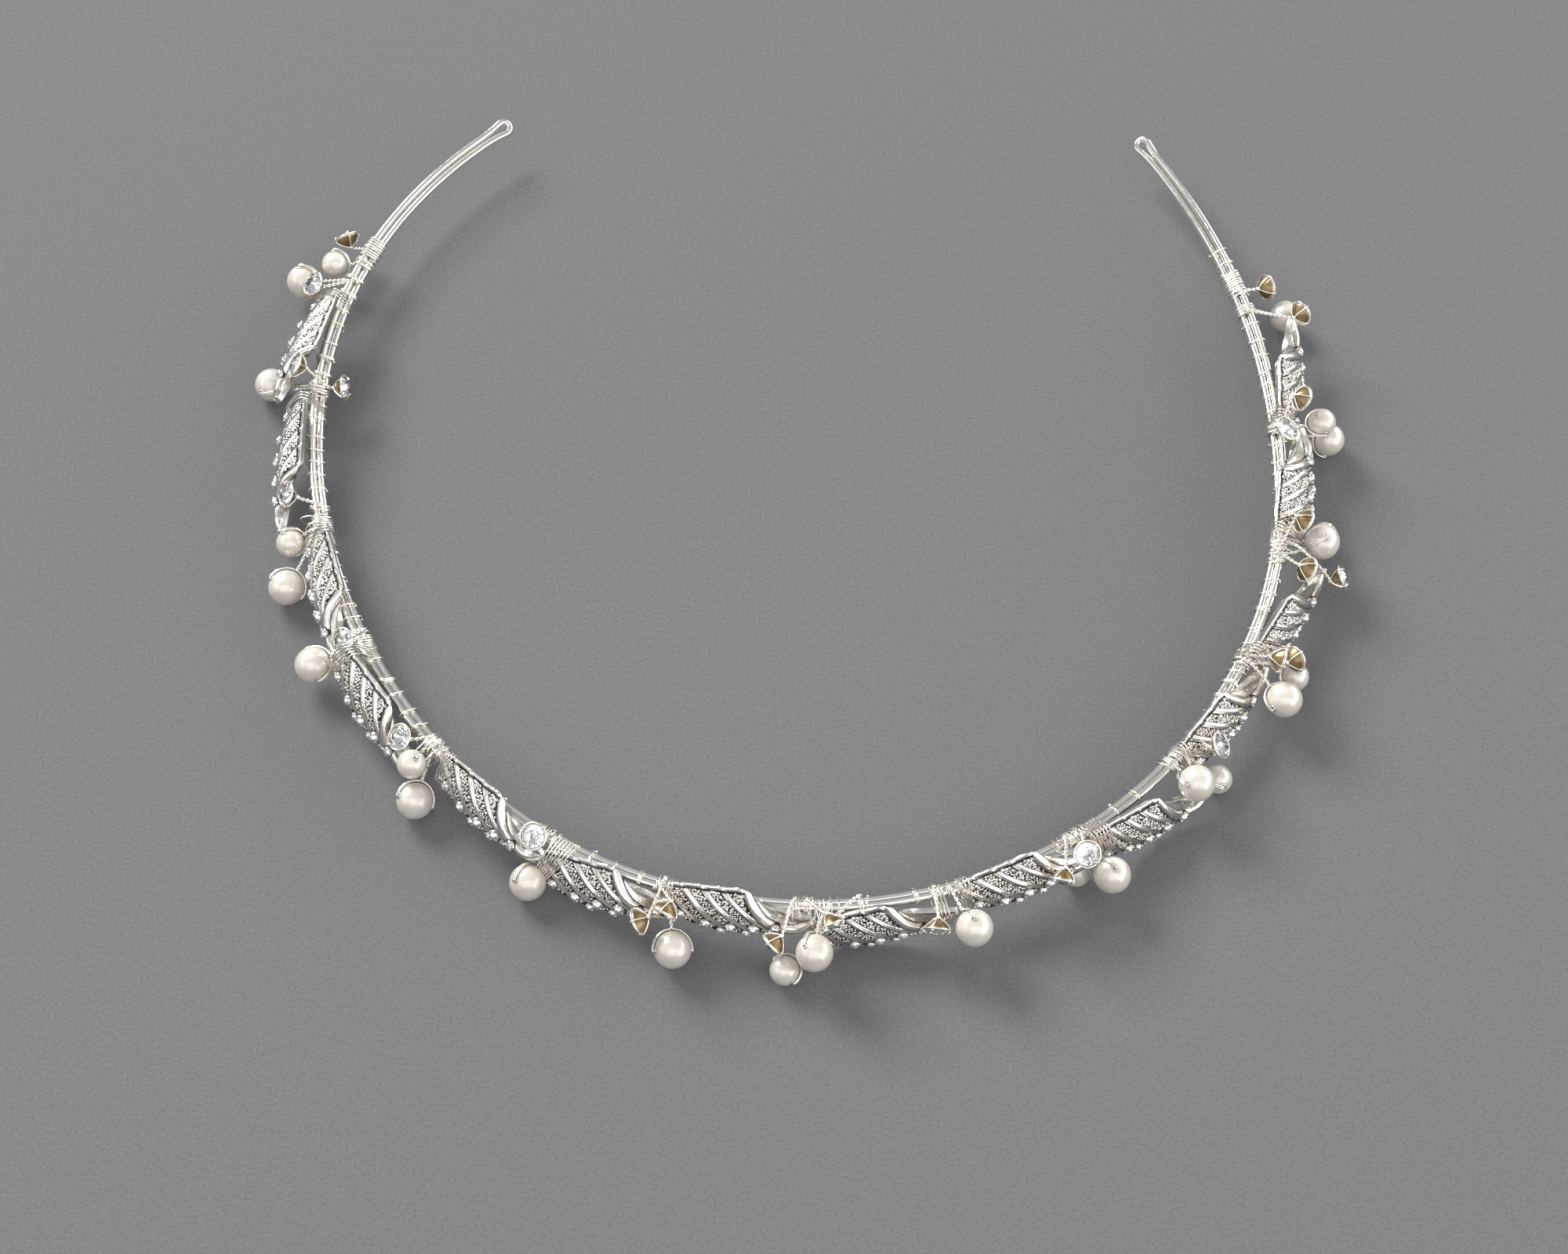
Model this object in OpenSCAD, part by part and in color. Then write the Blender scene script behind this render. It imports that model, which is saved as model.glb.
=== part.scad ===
// Wire headband of a pearl tiara: two runs of silver wire bent to a horseshoe, with fourteen cast
// leaves, pearls and cut stones bound along its outer side. It lies on its edge, open to the back.
// X runs to the wearer's left tip, Y to the open back, Z up from the table.

/* [Wire band] */
// Diameter of the band wire
wire_d = 1.1; // [0.9:0.05:1.2]
// Distance between the middles of the two runs
wire_pitch = 1.2; // [1.2:0.05:1.4]
// Lean of the pair from upright, upper run outward
pair_lean = 60; // [50:1:70]
// Height of the pair's middle above the table
band_h = 6; // [5.8:0.1:6.4]
// Half width of the loop at each tip, to the wire's middle
loop_r = 0.95; // [0.9:0.05:1.2]
// Angle at which the runs spread into a tip loop
loop_flare = 10; // [8:1:14]
// Where the front of the band lies, across
front_x = 1.2; // [0:0.1:3]
// Where the front of the band lies, fore and aft
front_y = -62.5; // [-66:0.5:-60]

/* [Leaves] */
// Thickness of the cast shell
leaf_wall = 0.65; // [0.5:0.05:0.8]
// Height of the smooth ribs above the shell
rib_h = 0.32; // [0.2:0.02:0.4]
// Height of the grained strips above the shell
grain_h = 0.24; // [0.1:0.02:0.3]

/* [Pearls] */
// Diameter of the bore through a pearl
pearl_bore = 0.9; // [0.8:0.05:1]
// Diameter of the wire threaded through a pearl
thread_d = 0.4; // [0.3:0.05:0.5]
// Diameter of a twisted stem
stem_d = 0.6; // [0.5:0.05:0.7]

/* [Cut stones] */
// Diameter of a set stone at its girdle
stone_d = 3.1; // [3:0.05:3.2]
// Height of a set stone's crown
stone_crown = 0.6; // [0.5:0.05:0.7]
// Depth of a set stone's back below its girdle
stone_back = 1.2; // [1.1:0.05:1.3]
// Diameter of the cup's wire
cup_wire = 0.32; // [0.3:0.02:0.36]

/* [Lashings] */
// Diameter of the binding wire
lash_d = 0.32; // [0.28:0.02:0.34]

/* [Hidden] */
$fn = 32;
clear = 0.1;
front_turn = -1;

// Band joints: ends drawn back, added to the wire's diameter by the solder and by the bead, solder's length
joint_gap = 0.05;
solder_more = 0.07;
bead_more = 0.08;
solder_l = 0.8;

// Cup of a set stone: ring and bars' wire, middle of the ring, height of the bars, claws below the bars and
// above the girdle, where bars and stem start from the bead's middle, the bead under the point
cup_ring_d = cup_wire - 0.06;
cup_r = stone_d / 2 + clear + cup_wire / 2;
cup_floor = -stone_back - 0.45;
claw_foot = 0.2;
claw_top = 0.3;
bar_from = 0.25;
stem_from = 0.1;
bead_d = 0.7;

// Cut of a set stone: share of the diameter across the table, thickness of the girdle
stone_table = 0.56;
stone_edge = 0.16;
// Height of a leaf's small stone: share of its diameter
small_crown = 0.32;

// Wire through a pearl's bore, and the turn round the pearl: angle and how far it goes past the bore's wire
bore_wire_d = thread_d - 0.04;
ring_angle = 196;
ring_past = (ring_angle - 180) / 2;
stem_least = 0.6;

// Between the turns of a lashing
turn_gap = 0.12;

// A stem stops this far from the middle of the band, clear of its lashings
pair_reach = wire_pitch / 2 + wire_d / 2 + lash_d + 3 * clear;

// Arcs of the band from its front to each tip: radius, angle
RIGHT_ARCS = [[64, 43.5], [72, 43], [106, 34.8]];
LEFT_ARCS = [[66.5, 48], [86.5, 46], [66, 42.7]];

// Leaves: place of the head's corner along the band, outward, rise, lean of the face, swing of the tail
// outward, turn of the leaf in its face
LEAVES = [
    [-138.0, 2.6,  1.3, 43,  5,  -6],
    [-118.5, 3.2,  0.1, 31, -2, -18],
    [ -96.0, 1.2,  0.7, 34,  0,  -8],
    [ -76.5, 2.8,  0.0, 28, -9,  -8],
    [ -54.5, 1.0,  1.1, 26,  2,  -1],
    [ -36.0, 2.0, -0.3, 27,  1,   8],
    [ -18.5, 1.1,  1.2, 23,  1,   2],
    [   0.0, 2.0, -0.8, 10,  1,   9],
    [  20.0, 1.4,  1.3, 21,  4,   3],
    [  38.5, 3.1, -0.8, 14,  5, -10],
    [  56.5, 1.1,  0.6, 25,  1,  -4],
    [  75.0, 3.2,  0.2, 16, 10,  -8],
    [  95.5, 1.0,  1.2, 47,  1,  -6],
    [ 115.0, 2.7,  0.7, 31,  9,  -7],
];

// Sections of a leaf from head to tail: share of its length, upper edge x y z, lower edge x y z, crown
LEAF_SECTIONS = [
    [0.00,  0.0,  2.2, 0.0,   1.2, -3.0, 0.0,  0.3],
    [0.17,  2.7,  2.6, 0.0,   4.8, -4.3, 0.1,  1.0],
    [0.34,  5.4,  2.6, 0.0,   8.4, -4.6, 0.2,  1.3],
    [0.51,  8.0,  2.6, 0.0,  11.8, -4.4, 0.3,  1.3],
    [0.68, 10.6,  2.4, 0.1,  14.8, -3.9, 0.6,  1.0],
    [0.78, 12.6,  0.9, 0.4,  16.4, -3.5, 0.9,  0.2],
    [0.88, 15.6,  0.2, 0.7,  18.0, -2.8, 1.1, -0.5],
    [1.00, 19.6, -0.4, 1.0,  19.9, -1.4, 1.0,  0.0],
];
leaf_mid = 9.8;
strip = 0.17;
strips = 4;

// Relief across one strip and its rib: share of the strip, height
STRIP_RELIEF = [[0, 0], [0.06, grain_h], [0.56, grain_h], [0.64, 0], [0.82, rib_h]];
// Relief over the tail: share of the leaf's length, height
TAIL_RELIEF = [[0.68, 0], [0.69, grain_h], [0.74, grain_h], [0.76, 0], [0.79, 0.45],
               [0.82, 0.1], [0.87, 0], [0.93, 0], [1.0, 0]];
// Rows across a leaf: share of its width, share of the relief
LEAF_ROWS = [[0, 0], [0.12, 1], [0.5, 1], [0.88, 1], [1, 0]];

// Small stones on a leaf: share of its length, share of its width, diameter
LEAF_STONES = [
    [0.05, 0.80, 1.2], [0.22, 0.80, 1.3], [0.39, 0.80, 1.4], [0.56, 0.80, 1.4],
    [0.73, 0.78, 1.2], [0.30, 0.95, 1.0], [0.47, 0.95, 1.0],
];

// Pearls: place along the band, outward, height, diameter, turn of the bore, foot of the stem and
// the share of the way to it that the stem goes
PEARLS = [
    [-141.0,  8.0, 4.0, 5.0,  70, -142.0, 1.0],
    [-144.5,  4.5, 5.0, 4.0,  50, -145.5, 1.0],
    [-124.6,  7.9, 2.6, 4.8, -20, -122.5, 1.0],
    [ -97.0,  5.0, 5.0, 4.0,  60,  -98.5, 1.0],
    [ -91.5,  7.0, 3.0, 5.0,  40,  -97.5, 0.6],
    [ -78.3,  7.5, 4.2, 5.0,   0,  -78.0, 0.2],
    [ -57.0,  4.5, 7.0, 4.0, -70,  -58.5, 1.0],
    [ -54.5,  6.5, 2.8, 5.0,  40,  -58.0, 1.0],
    [ -36.1,  5.8, 2.6, 5.0,  60,  -37.5, 1.0],
    [ -16.0,  7.5, 3.0, 5.0,  20,  -18.5, 1.0],
    [   1.0,  7.0, 6.0, 5.0,  60,    1.5, 0.6],
    [  -2.5,  7.8, 2.2, 4.0,   0,    8.0, 0.1],
    [  20.3,  6.9, 6.8, 5.0,  90,   19.0, 1.0],
    [  39.0,  7.0, 5.0, 5.0,  90,   38.0, 1.0],
    [  36.4,  2.9, 2.2, 4.0,   0,   37.0, 1.0],
    [  55.0,  5.0, 7.0, 5.0,  40,   55.5, 1.0],
    [  59.5,  5.5, 2.2, 4.0,  30,   55.0, 1.0],
    [  72.5,  7.5, 5.5, 5.0,  10,   75.0, 0.6],
    [  78.0,  7.0, 2.2, 4.0, -20,   76.5, 0.4],
    [  96.5,  6.0, 6.5, 5.0,  70,   92.5, 1.0],
    [ 100.0,  6.5, 2.5, 4.0,  90,   95.0, 1.0],
    [ 115.5,  6.5, 7.0, 4.0,   0,  115.0, 1.0],
    [ 115.5,  8.0, 2.6, 4.6, -50,  115.0, 1.0],
    [ 136.5,  6.5, 3.0, 4.6,  60,  137.0, 1.0],
];

// Set stones: place along the band, outward, height, turn and tip of the face, foot of the stem and
// the share of the way to it that the stem goes
CRYSTALS = [
    [-149.0,  5.0,  5.5, -40,  20, -148.0, 1.0],
    [-138.5,  5.0,  8.0,  30,  50, -142.0, 1.0],
    [-123.1,  3.2, 10.3,   0,  30, -122.5, 1.0],
    [-103.0,  4.4,  7.9,   0,  35, -101.0, 1.0],
    [ -77.5,  3.0,  8.5,  10,  50,  -78.0, 1.0],
    [ -61.0,  3.5,  7.6, -10,  55,  -58.5, 0.6],
    [ -36.9,  2.6,  9.7,  10,  60,  -37.5, 1.0],
    [ -17.5,  5.0,  8.5, -20, -30,  -20.0, 1.0],
    [  -4.0,  6.0,  6.0, -50, -30,   -1.5, 0.6],
    [  16.0,  5.6,  6.2, -20, -20,   17.0, 0.3],
    [  36.5,  4.5,  9.7, -20,  55,   38.5, 0.2],
    [  60.5,  4.5,  9.0,  30,  40,   60.5, 0.6],
    [  75.5,  5.0,  9.5,  20, -20,   75.5, 1.0],
    [ 113.0,  1.0,  9.5,   0,  60,  114.5, 1.0],
    [ 140.0,  4.5,  6.0,  10, -20,  140.0, 1.0],
    [-122.5, -3.5,  6.0, 180,  10, -122.0, 1.0],
    [ -20.5,  6.5,  6.5, -60, -30,  -19.0, 0.7],
    [   3.0,  5.0, 10.0,  20, -20,    0.0, 1.0],
    [  32.6,  5.5,  8.1, -40, -30,   36.5, 0.5],
    [  78.0,  6.5,  6.5,  60, -20,   74.0, 1.0],
    [  91.5,  4.5,  7.0,  10, -40,   94.0, 1.0],
    [  92.5,  9.5,  5.0,  20,  20,   95.5, 0.2],
    [  97.5,  3.0,  9.5,   0, -40,   92.5, 1.0],
    [ 117.6,  3.5, 10.1,   0, -40,  115.5, 0.6],
    [ 132.9,  7.0,  8.6,  30, -10,  136.5, 1.0],
];
own_crystals = 15;

// Lashings: place along the band, number of turns
LASHINGS = [
    [-148.0, 8], [-121.2, 3], [-98.2, 6], [-77.0, 5], [-57.7, 2], [-37.4, 6], [-0.4, 5],
    [37.2, 4], [56.6, 2], [75.8, 3], [95.3, 4], [114.8, 3], [142.0, 8],
];

silver = "silver";
pearl_white = "ivory";
glass = "lightcyan";

// Names of the repeated nodes
function two(i) = i < 9 ? str("0", i + 1) : str(i + 1);
function leaf_name(i) = str("leaf_", two(i));
function pearl_name(i) = str("pearl_", two(i));
function crystal_name(i) = str("crystal_", two(i));

// The band's middle line: side is 1 towards the right tip and -1 towards the left tip
function arc_end(x, y, h, r, a, side) =
    let (cx = x - side * r * sin(h), cy = y + side * r * cos(h), h2 = h + side * a)
    [cx + side * r * sin(h2), cy - side * r * cos(h2), h2];
function arc_length(arc) = arc[0] * arc[1] * PI / 180;
function walk(arcs, i, s, x, y, h, side) =
    let (r = arcs[i][0], whole = arc_length(arcs[i]))
    i == len(arcs) - 1 || s <= whole
        ? arc_end(x, y, h, r, s / r * 180 / PI, side)
        : let (e = arc_end(x, y, h, r, arcs[i][1], side))
            walk(arcs, i + 1, s - whole, e[0], e[1], e[2], side);
function total(arcs, i = 0) = i == len(arcs) ? 0 : arc_length(arcs[i]) + total(arcs, i + 1);
function spot(s) = s >= 0
    ? walk(RIGHT_ARCS, 0, s, front_x, front_y, front_turn, 1)
    : walk(LEFT_ARCS, 0, -s, front_x, front_y, front_turn + 180, -1) - [0, 0, 180];
function world(s, out, z) = let (p = spot(s)) [p[0] + out * sin(p[2]), p[1] - out * cos(p[2]), z];

// A frame on the band: X along it, -Y outward, Z up
module on_band(s, out, z) {
    p = spot(s);
    translate([p[0], p[1], z]) rotate([0, 0, p[2]]) translate([0, -out, 0]) children();
}

// Z along a direction
module along(v) {
    rotate([0, acos(v[2] / norm(v)), atan2(v[1], v[0])]) children();
}

// A bent wire: an arc in the XY plane from +X, its ends drawn back from the joints
module bent(r, angle, d, steps) {
    back = joint_gap / r * 180 / PI;
    rotate([0, 0, back]) rotate_extrude(angle = angle - 2 * back, $fn = steps)
        translate([r, 0]) circle(d = d, $fn = 24);
}

// The solder over a joint, along X
module joint() {
    rotate([0, 90, 0]) cylinder(d = wire_d + solder_more, h = solder_l, center = true);
}

// One run of the band wire over one arc, with the joint at its near end
module run_arc(arcs, i, x, y, h, side, out, up) {
    r = arcs[i][0];
    a = arcs[i][1];
    from = side > 0 ? h - 90 : h + 90 - a;
    translate([x - side * r * sin(h), y + side * r * cos(h), band_h + up])
        rotate([0, 0, from]) bent(r + out, a, wire_d, 360);
    e = arc_end(x, y, h, r, a, side);
    translate([e[0] + side * out * sin(e[2]), e[1] - side * out * cos(e[2]), band_h + up])
        rotate([0, 0, e[2]]) joint();
    if (i < len(arcs) - 1)
        run_arc(arcs, i + 1, e[0], e[1], e[2], side, out, up);
}

// The narrow loop that joins the two runs at a tip
module tip_loop(side) {
    p = spot(side > 0 ? total(RIGHT_ARCS) : -total(LEFT_ARCS));
    half = wire_pitch / 2;
    spread_r = (loop_r * cos(loop_flare) - half) / (1 - cos(loop_flare));
    translate([p[0], p[1], band_h]) rotate([0, 0, p[2]])
        mirror([side > 0 ? 0 : 1, 0, 0])
            rotate([90 + pair_lean, 0, 0]) {
                for (up = [0, 1]) mirror([0, up, 0]) {
                    translate([0, half + spread_r, 0]) rotate([0, 0, -90])
                        bent(spread_r, loop_flare, wire_d, 360);
                    translate([spread_r * sin(loop_flare), loop_r * cos(loop_flare), 0])
                        rotate([0, 0, loop_flare]) rotate([0, 90, 0]) sphere(d = wire_d + bead_more);
                }
                translate([(spread_r + loop_r) * sin(loop_flare), 0, 0])
                    rotate([0, 0, -90 - loop_flare]) bent(loop_r, 180 + 2 * loop_flare, wire_d, 36);
            }
}

module band() {
    color(silver) {
        for (k = [-1, 1]) {
            out = k * wire_pitch / 2 * sin(pair_lean);
            up = k * wire_pitch / 2 * cos(pair_lean);
            run_arc(RIGHT_ARCS, 0, front_x, front_y, front_turn, 1, out, up);
            run_arc(LEFT_ARCS, 0, front_x, front_y, front_turn + 180, -1, out, up);
            on_band(0, out, band_h + up) joint();
        }
        tip_loop(1);
        tip_loop(-1);
    }
}

// A point of the leaf's smooth face: u from head to tail, v from upper to lower edge
LEAF_COLUMNS = [for (k = [1:7]) [for (row = LEAF_SECTIONS) [row[0], row[k]]]];
function leaf_at(u, v) =
    let (a = [for (k = [0:6]) lookup(u, LEAF_COLUMNS[k])])
    [a[0] + (a[3] - a[0]) * v, a[1] + (a[4] - a[1]) * v, a[2] + (a[5] - a[2]) * v + a[6] * sin(180 * v)];
nearby = 0.02;
function leaf_normal(u, v) = let (e = nearby)
    cross(leaf_at(u, v - e) - leaf_at(u, v + e), leaf_at(u - e, v) - leaf_at(u + e, v));
LEAF_STATIONS = concat(
    [for (k = [0:strips - 1], step = STRIP_RELIEF) [(k + step[0]) * strip, step[1]]],
    TAIL_RELIEF
);

module leaf_shell() {
    nu = len(LEAF_STATIONS);
    nv = len(LEAF_ROWS);
    back = nu * nv;
    points = concat(
        [for (c = LEAF_STATIONS, r = LEAF_ROWS) leaf_at(c[0], r[0]) + [0, 0, c[1] * r[1]]],
        [for (c = LEAF_STATIONS, r = LEAF_ROWS) leaf_at(c[0], r[0]) - [0, 0, leaf_wall]]
    );
    quads = concat(
        [for (j = [0:nu - 2], i = [0:nv - 2]) let (a = j * nv + i) [a, a + nv, a + nv + 1, a + 1]],
        [for (j = [0:nu - 2], i = [0:nv - 2]) let (a = back + j * nv + i) [a, a + 1, a + nv + 1, a + nv]],
        [for (j = [0:nu - 2]) let (a = j * nv) [a + nv, a, back + a, back + a + nv]],
        [for (j = [0:nu - 2]) let (a = j * nv + nv - 1) [a, a + nv, back + a + nv, back + a]],
        [for (i = [0:nv - 2]) [i, i + 1, back + i + 1, back + i]],
        [for (i = [0:nv - 2]) let (a = back - nv + i) [a + 1, a, back + a, back + a + 1]]
    );
    polyhedron(points, [for (q = quads, t = [[q[0], q[1], q[2]], [q[0], q[2], q[3]]]) t], convexity = 6);
}

// The frame of a leaf: X along the band from the head's corner, Y up its face, Z out of its face
module on_leaf(i) {
    leaf = LEAVES[i];
    on_band(leaf[0] + leaf_mid, leaf[1], band_h + leaf[2])
        rotate([90 - leaf[3], 0, 0]) rotate([0, -leaf[4], 0]) rotate([0, 0, leaf[5]])
            translate([-leaf_mid, 0, 0]) children();
}

module leaf(i) {
    color(silver) on_leaf(i) leaf_shell();
}

// Eight points round Z
function eight(r, z, turn) = [for (k = [0:7]) [r * cos(45 * k + turn), r * sin(45 * k + turn), z]];

// A cut stone: its girdle at Z = 0, an eight-sided table above and a point or a flat back below
module cut_stone(d, table, crown, edge, depth) {
    points = concat(
        eight(d / 2 * table, crown, 22.5),
        eight(d / 2, edge / 2, 0),
        eight(d / 2, -edge / 2, 0),
        [[0, 0, -depth]]
    );
    faces = concat(
        [[7, 6, 5, 4, 3, 2, 1, 0]],
        [for (k = [0:7]) let (n = (k + 1) % 8) [k, 8 + n, 8 + k]],
        [for (k = [0:7]) let (n = (k + 1) % 8) [k, n, 8 + n]],
        [for (k = [0:7]) let (n = (k + 1) % 8) [8 + k, 8 + n, 16 + n]],
        [for (k = [0:7]) let (n = (k + 1) % 8) [8 + k, 16 + n, 16 + k]],
        [for (k = [0:7]) let (n = (k + 1) % 8) [16 + k, 16 + n, 24]]
    );
    polyhedron(points, faces);
}

// A small flat-backed stone of a leaf
module small_stone(d) {
    polyhedron(
        concat(eight(d / 2 * stone_table, d * small_crown, 22.5), eight(d / 2, 0, 0)),
        concat(
            [[7, 6, 5, 4, 3, 2, 1, 0], [8, 9, 10, 11, 12, 13, 14, 15]],
            [for (k = [0:7]) let (n = (k + 1) % 8) [k, 8 + n, 8 + k]],
            [for (k = [0:7]) let (n = (k + 1) % 8) [k, n, 8 + n]]
        )
    );
}

module leaf_stones() {
    color(glass) for (i = [0:len(LEAVES) - 1], s = LEAF_STONES) on_leaf(i)
        translate(leaf_at(s[0], s[1])) along(leaf_normal(s[0], s[1]))
            translate([0, 0, rib_h + clear]) small_stone(s[2]);
}

// The frame of a set stone: Z out of its face
module on_stone(c) {
    on_band(c[0], c[1], c[2]) rotate([0, 90 - c[4], c[3] - 90]) children();
}

module set_stone(c) {
    color(glass) on_stone(c) cut_stone(stone_d, stone_table, stone_crown, stone_edge, stone_back);
}

module tucked_crystals() {
    for (i = [own_crystals:len(CRYSTALS) - 1]) set_stone(CRYSTALS[i]);
}

// The way from the bead of a cup to the foot of its stem, in the stone's frame
function cup_way(c) =
    let (v = world(c[5], 0, band_h) - world(c[0], c[1], c[2]), turn = spot(c[0])[2] + c[3] - 90)
    let (ahead = v[0] * cos(turn) + v[1] * sin(turn), aside = v[1] * cos(turn) - v[0] * sin(turn))
    [ahead * sin(c[4]) - v[2] * cos(c[4]), aside, ahead * cos(c[4]) + v[2] * sin(c[4]) - cup_floor];

// A cup of wire: a ring round the girdle, four claws on bars from a bead under the point, and its stem,
// which leaves the bead between two bars
module cup(c) {
    way = cup_way(c);
    reach = c[6] * (norm(way) - pair_reach);
    on_stone(c) rotate([0, 0, atan2(way[1], way[0])]) {
        rotate_extrude() translate([cup_r, 0]) circle(d = cup_ring_d);
        for (a = [45:90:315]) rotate([0, 0, a]) {
            translate([cup_r, 0, cup_floor - claw_foot])
                cylinder(d = cup_wire, h = claw_foot + claw_top - cup_floor);
            translate([bar_from, 0, cup_floor]) rotate([0, 90, 0])
                cylinder(d = cup_ring_d, h = cup_r - bar_from);
        }
        translate([0, 0, cup_floor]) rotate([0, acos(way[2] / norm(way)), 0]) {
            sphere(d = bead_d);
            if (reach > bead_d / 2) translate([0, 0, stem_from]) cylinder(d = stem_d, h = reach - stem_from);
        }
    }
}

module crystal_cups() {
    color(silver) for (c = CRYSTALS) cup(c);
}

module pearl(p) {
    centre = world(p[0], p[1], p[2]);
    color(pearl_white) translate(centre) along(world(p[5], 0, band_h) - centre) rotate([0, 0, p[4]])
        difference() {
            sphere(d = p[3]);
            rotate([90, 0, 0]) cylinder(d = pearl_bore, h = p[3] + 1, center = true);
        }
}

// The wire of a pearl: through its bore, round both sides and twisted into a stem
module pearl_wire(p) {
    centre = world(p[0], p[1], p[2]);
    way = world(p[5], 0, band_h) - centre;
    ring_r = p[3] / 2 + clear + thread_d / 2;
    translate(centre) along(way) {
        rotate([0, 0, p[4]]) {
            rotate([90, 0, 0]) cylinder(d = bore_wire_d, h = 2 * ring_r, center = true);
            rotate([90, 0, 90]) rotate([0, 0, -ring_past])
                rotate_extrude(angle = ring_angle) translate([ring_r, 0]) circle(d = thread_d);
        }
        translate([0, 0, ring_r - joint_gap])
            cylinder(d = stem_d, h = max(stem_least, p[6] * (norm(way) - pair_reach - ring_r)));
    }
}

module pearl_wires() {
    color(silver) for (p = PEARLS) pearl_wire(p);
}

// One turn of binding wire round the pair
module turn(s) {
    turn_r = wire_d / 2 + clear + lash_d / 2;
    on_band(s, 0, band_h) rotate([pair_lean - 90, 0, 0]) rotate([0, 90, 0]) {
        for (end = [0, 1]) mirror([0, end, 0]) translate([0, wire_pitch / 2, 0])
            rotate_extrude(angle = 180) translate([turn_r, 0]) circle(d = lash_d);
        for (end = [-1, 1]) translate([end * turn_r, 0, 0])
            rotate([90, 0, 0]) cylinder(d = lash_d, h = wire_pitch, center = true);
    }
}

module lashings() {
    pitch = lash_d + turn_gap;
    color(silver) for (l = LASHINGS, k = [0:l[1] - 1]) turn(l[0] + (k - (l[1] - 1) / 2) * pitch);
}

band();
for (i = [0:len(LEAVES) - 1]) leaf(i);
for (i = [0:len(PEARLS) - 1]) pearl(PEARLS[i]);
for (i = [0:own_crystals - 1]) set_stone(CRYSTALS[i]);
tucked_crystals();
crystal_cups();
leaf_stones();
pearl_wires();
lashings();
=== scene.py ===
"""A pearl tiara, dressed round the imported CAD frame: band, cast leaves, pearls, stones and binding wire."""
from itertools import product
from math import acos, asin, atan2, cos, pi, radians, sin

import bpy
import numpy as np
from mathutils import Matrix, Vector
from mathutils.bvhtree import BVHTree

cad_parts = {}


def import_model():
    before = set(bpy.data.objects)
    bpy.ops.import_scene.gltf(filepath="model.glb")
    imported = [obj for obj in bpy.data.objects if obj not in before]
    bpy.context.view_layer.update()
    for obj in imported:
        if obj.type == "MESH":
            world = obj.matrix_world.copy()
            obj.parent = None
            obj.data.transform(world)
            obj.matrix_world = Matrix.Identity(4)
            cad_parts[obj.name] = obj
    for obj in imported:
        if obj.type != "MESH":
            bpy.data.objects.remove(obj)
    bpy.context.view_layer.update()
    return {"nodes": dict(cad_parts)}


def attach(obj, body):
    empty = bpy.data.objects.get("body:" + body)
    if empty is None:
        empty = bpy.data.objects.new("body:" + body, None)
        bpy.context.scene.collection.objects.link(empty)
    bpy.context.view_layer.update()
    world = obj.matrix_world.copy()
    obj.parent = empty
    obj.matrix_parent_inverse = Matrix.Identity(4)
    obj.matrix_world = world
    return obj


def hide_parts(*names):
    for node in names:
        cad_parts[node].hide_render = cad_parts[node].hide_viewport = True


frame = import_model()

MM = 0.001
RNG = np.random.default_rng(11)
uniform, jitter = RNG.uniform, RNG.standard_normal

# Sizes and places in millimetres, as in the CAD source

# x, y and heading of the band's front, then radius and angle of the arcs to its right and left tip
FRONT = (1.2, -62.5, -1.0)
RIGHT_ARCS = [(64, 43.5), (72, 43), (106, 34.8)]
LEFT_ARCS = [(66.5, 48), (86.5, 46), (66, 42.7)]
# the pair of band wires: diameter, distance of the two, lean in degrees, height; its loops: radius, flare
WIRE_D, PITCH, LEAN, BAND_H = 1.1, 1.2, 60.0, 6.0
LOOP_R, LOOP_FLARE = 0.95, 10.0
# a leaf: wall, height of its ribs, half of its length, share of the length that one strip takes
LEAF_WALL, RIB_H, LEAF_MID, STRIP = 0.65, 0.32, 9.8, 0.17
# shares of the length: lean of the ribs from foot to top, end of the ribbed body, start of the rim's reach
SLANT, BODY_END, RIM_FROM = 0.25, 0.68, 0.6
RIB_PIVOT = 0.8   # share of the width at which the lean leaves a rib in its place
# ribs of a strip: share of the strip, half its width there, height
RIBS = [(0.675, 0.050, 0.22), (0.81, 0.078, RIB_H), (0.945, 0.050, 0.22)]
GRAIN_ROWS = (0.095, 0.225, 0.355, 0.485)   # shares of a strip
GRAIN_RISE, GROUND_SHADE = 0.04, 0.85   # height of the ground between the grains, and the painted shade on it
DISH, RIM_R, RIM_RISE, RIM_CLEAR = 0.30, 0.62, 0.50, 0.78   # the tail's dish and the curled rim round it
BEAD_PITCH, BEAD_R, NUGGET_R, PRONG_R = 0.46, 0.205, 0.31, 0.17
PEARL_BORE, THREAD_D, CLEAR = 0.9, 0.4, 0.1
STONE_D, STONE_CROWN, STONE_BACK, STONE_TABLE, STONE_EDGE = 3.1, 0.6, 1.2, 0.56, 0.16
CUP_WIRE, LASH_D, TURN_GAP = 0.32, 0.32, 0.12
CUP_R = STONE_D / 2 + CLEAR + CUP_WIRE / 2
CUP_FLOOR, CUP_BEAD_R = -STONE_BACK - 0.45, 0.35
# fine wires: diameter of the wraps, then radii of fan strands, loose loops, a pearl's strands and its coils
WRAP_D, FAN_R, LOOSE_R, STRAND_R, COIL_R = 0.24, 0.115, 0.095, 0.125, 0.10
WAVER = 0.008   # how much a drawn wire's radius varies

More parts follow.
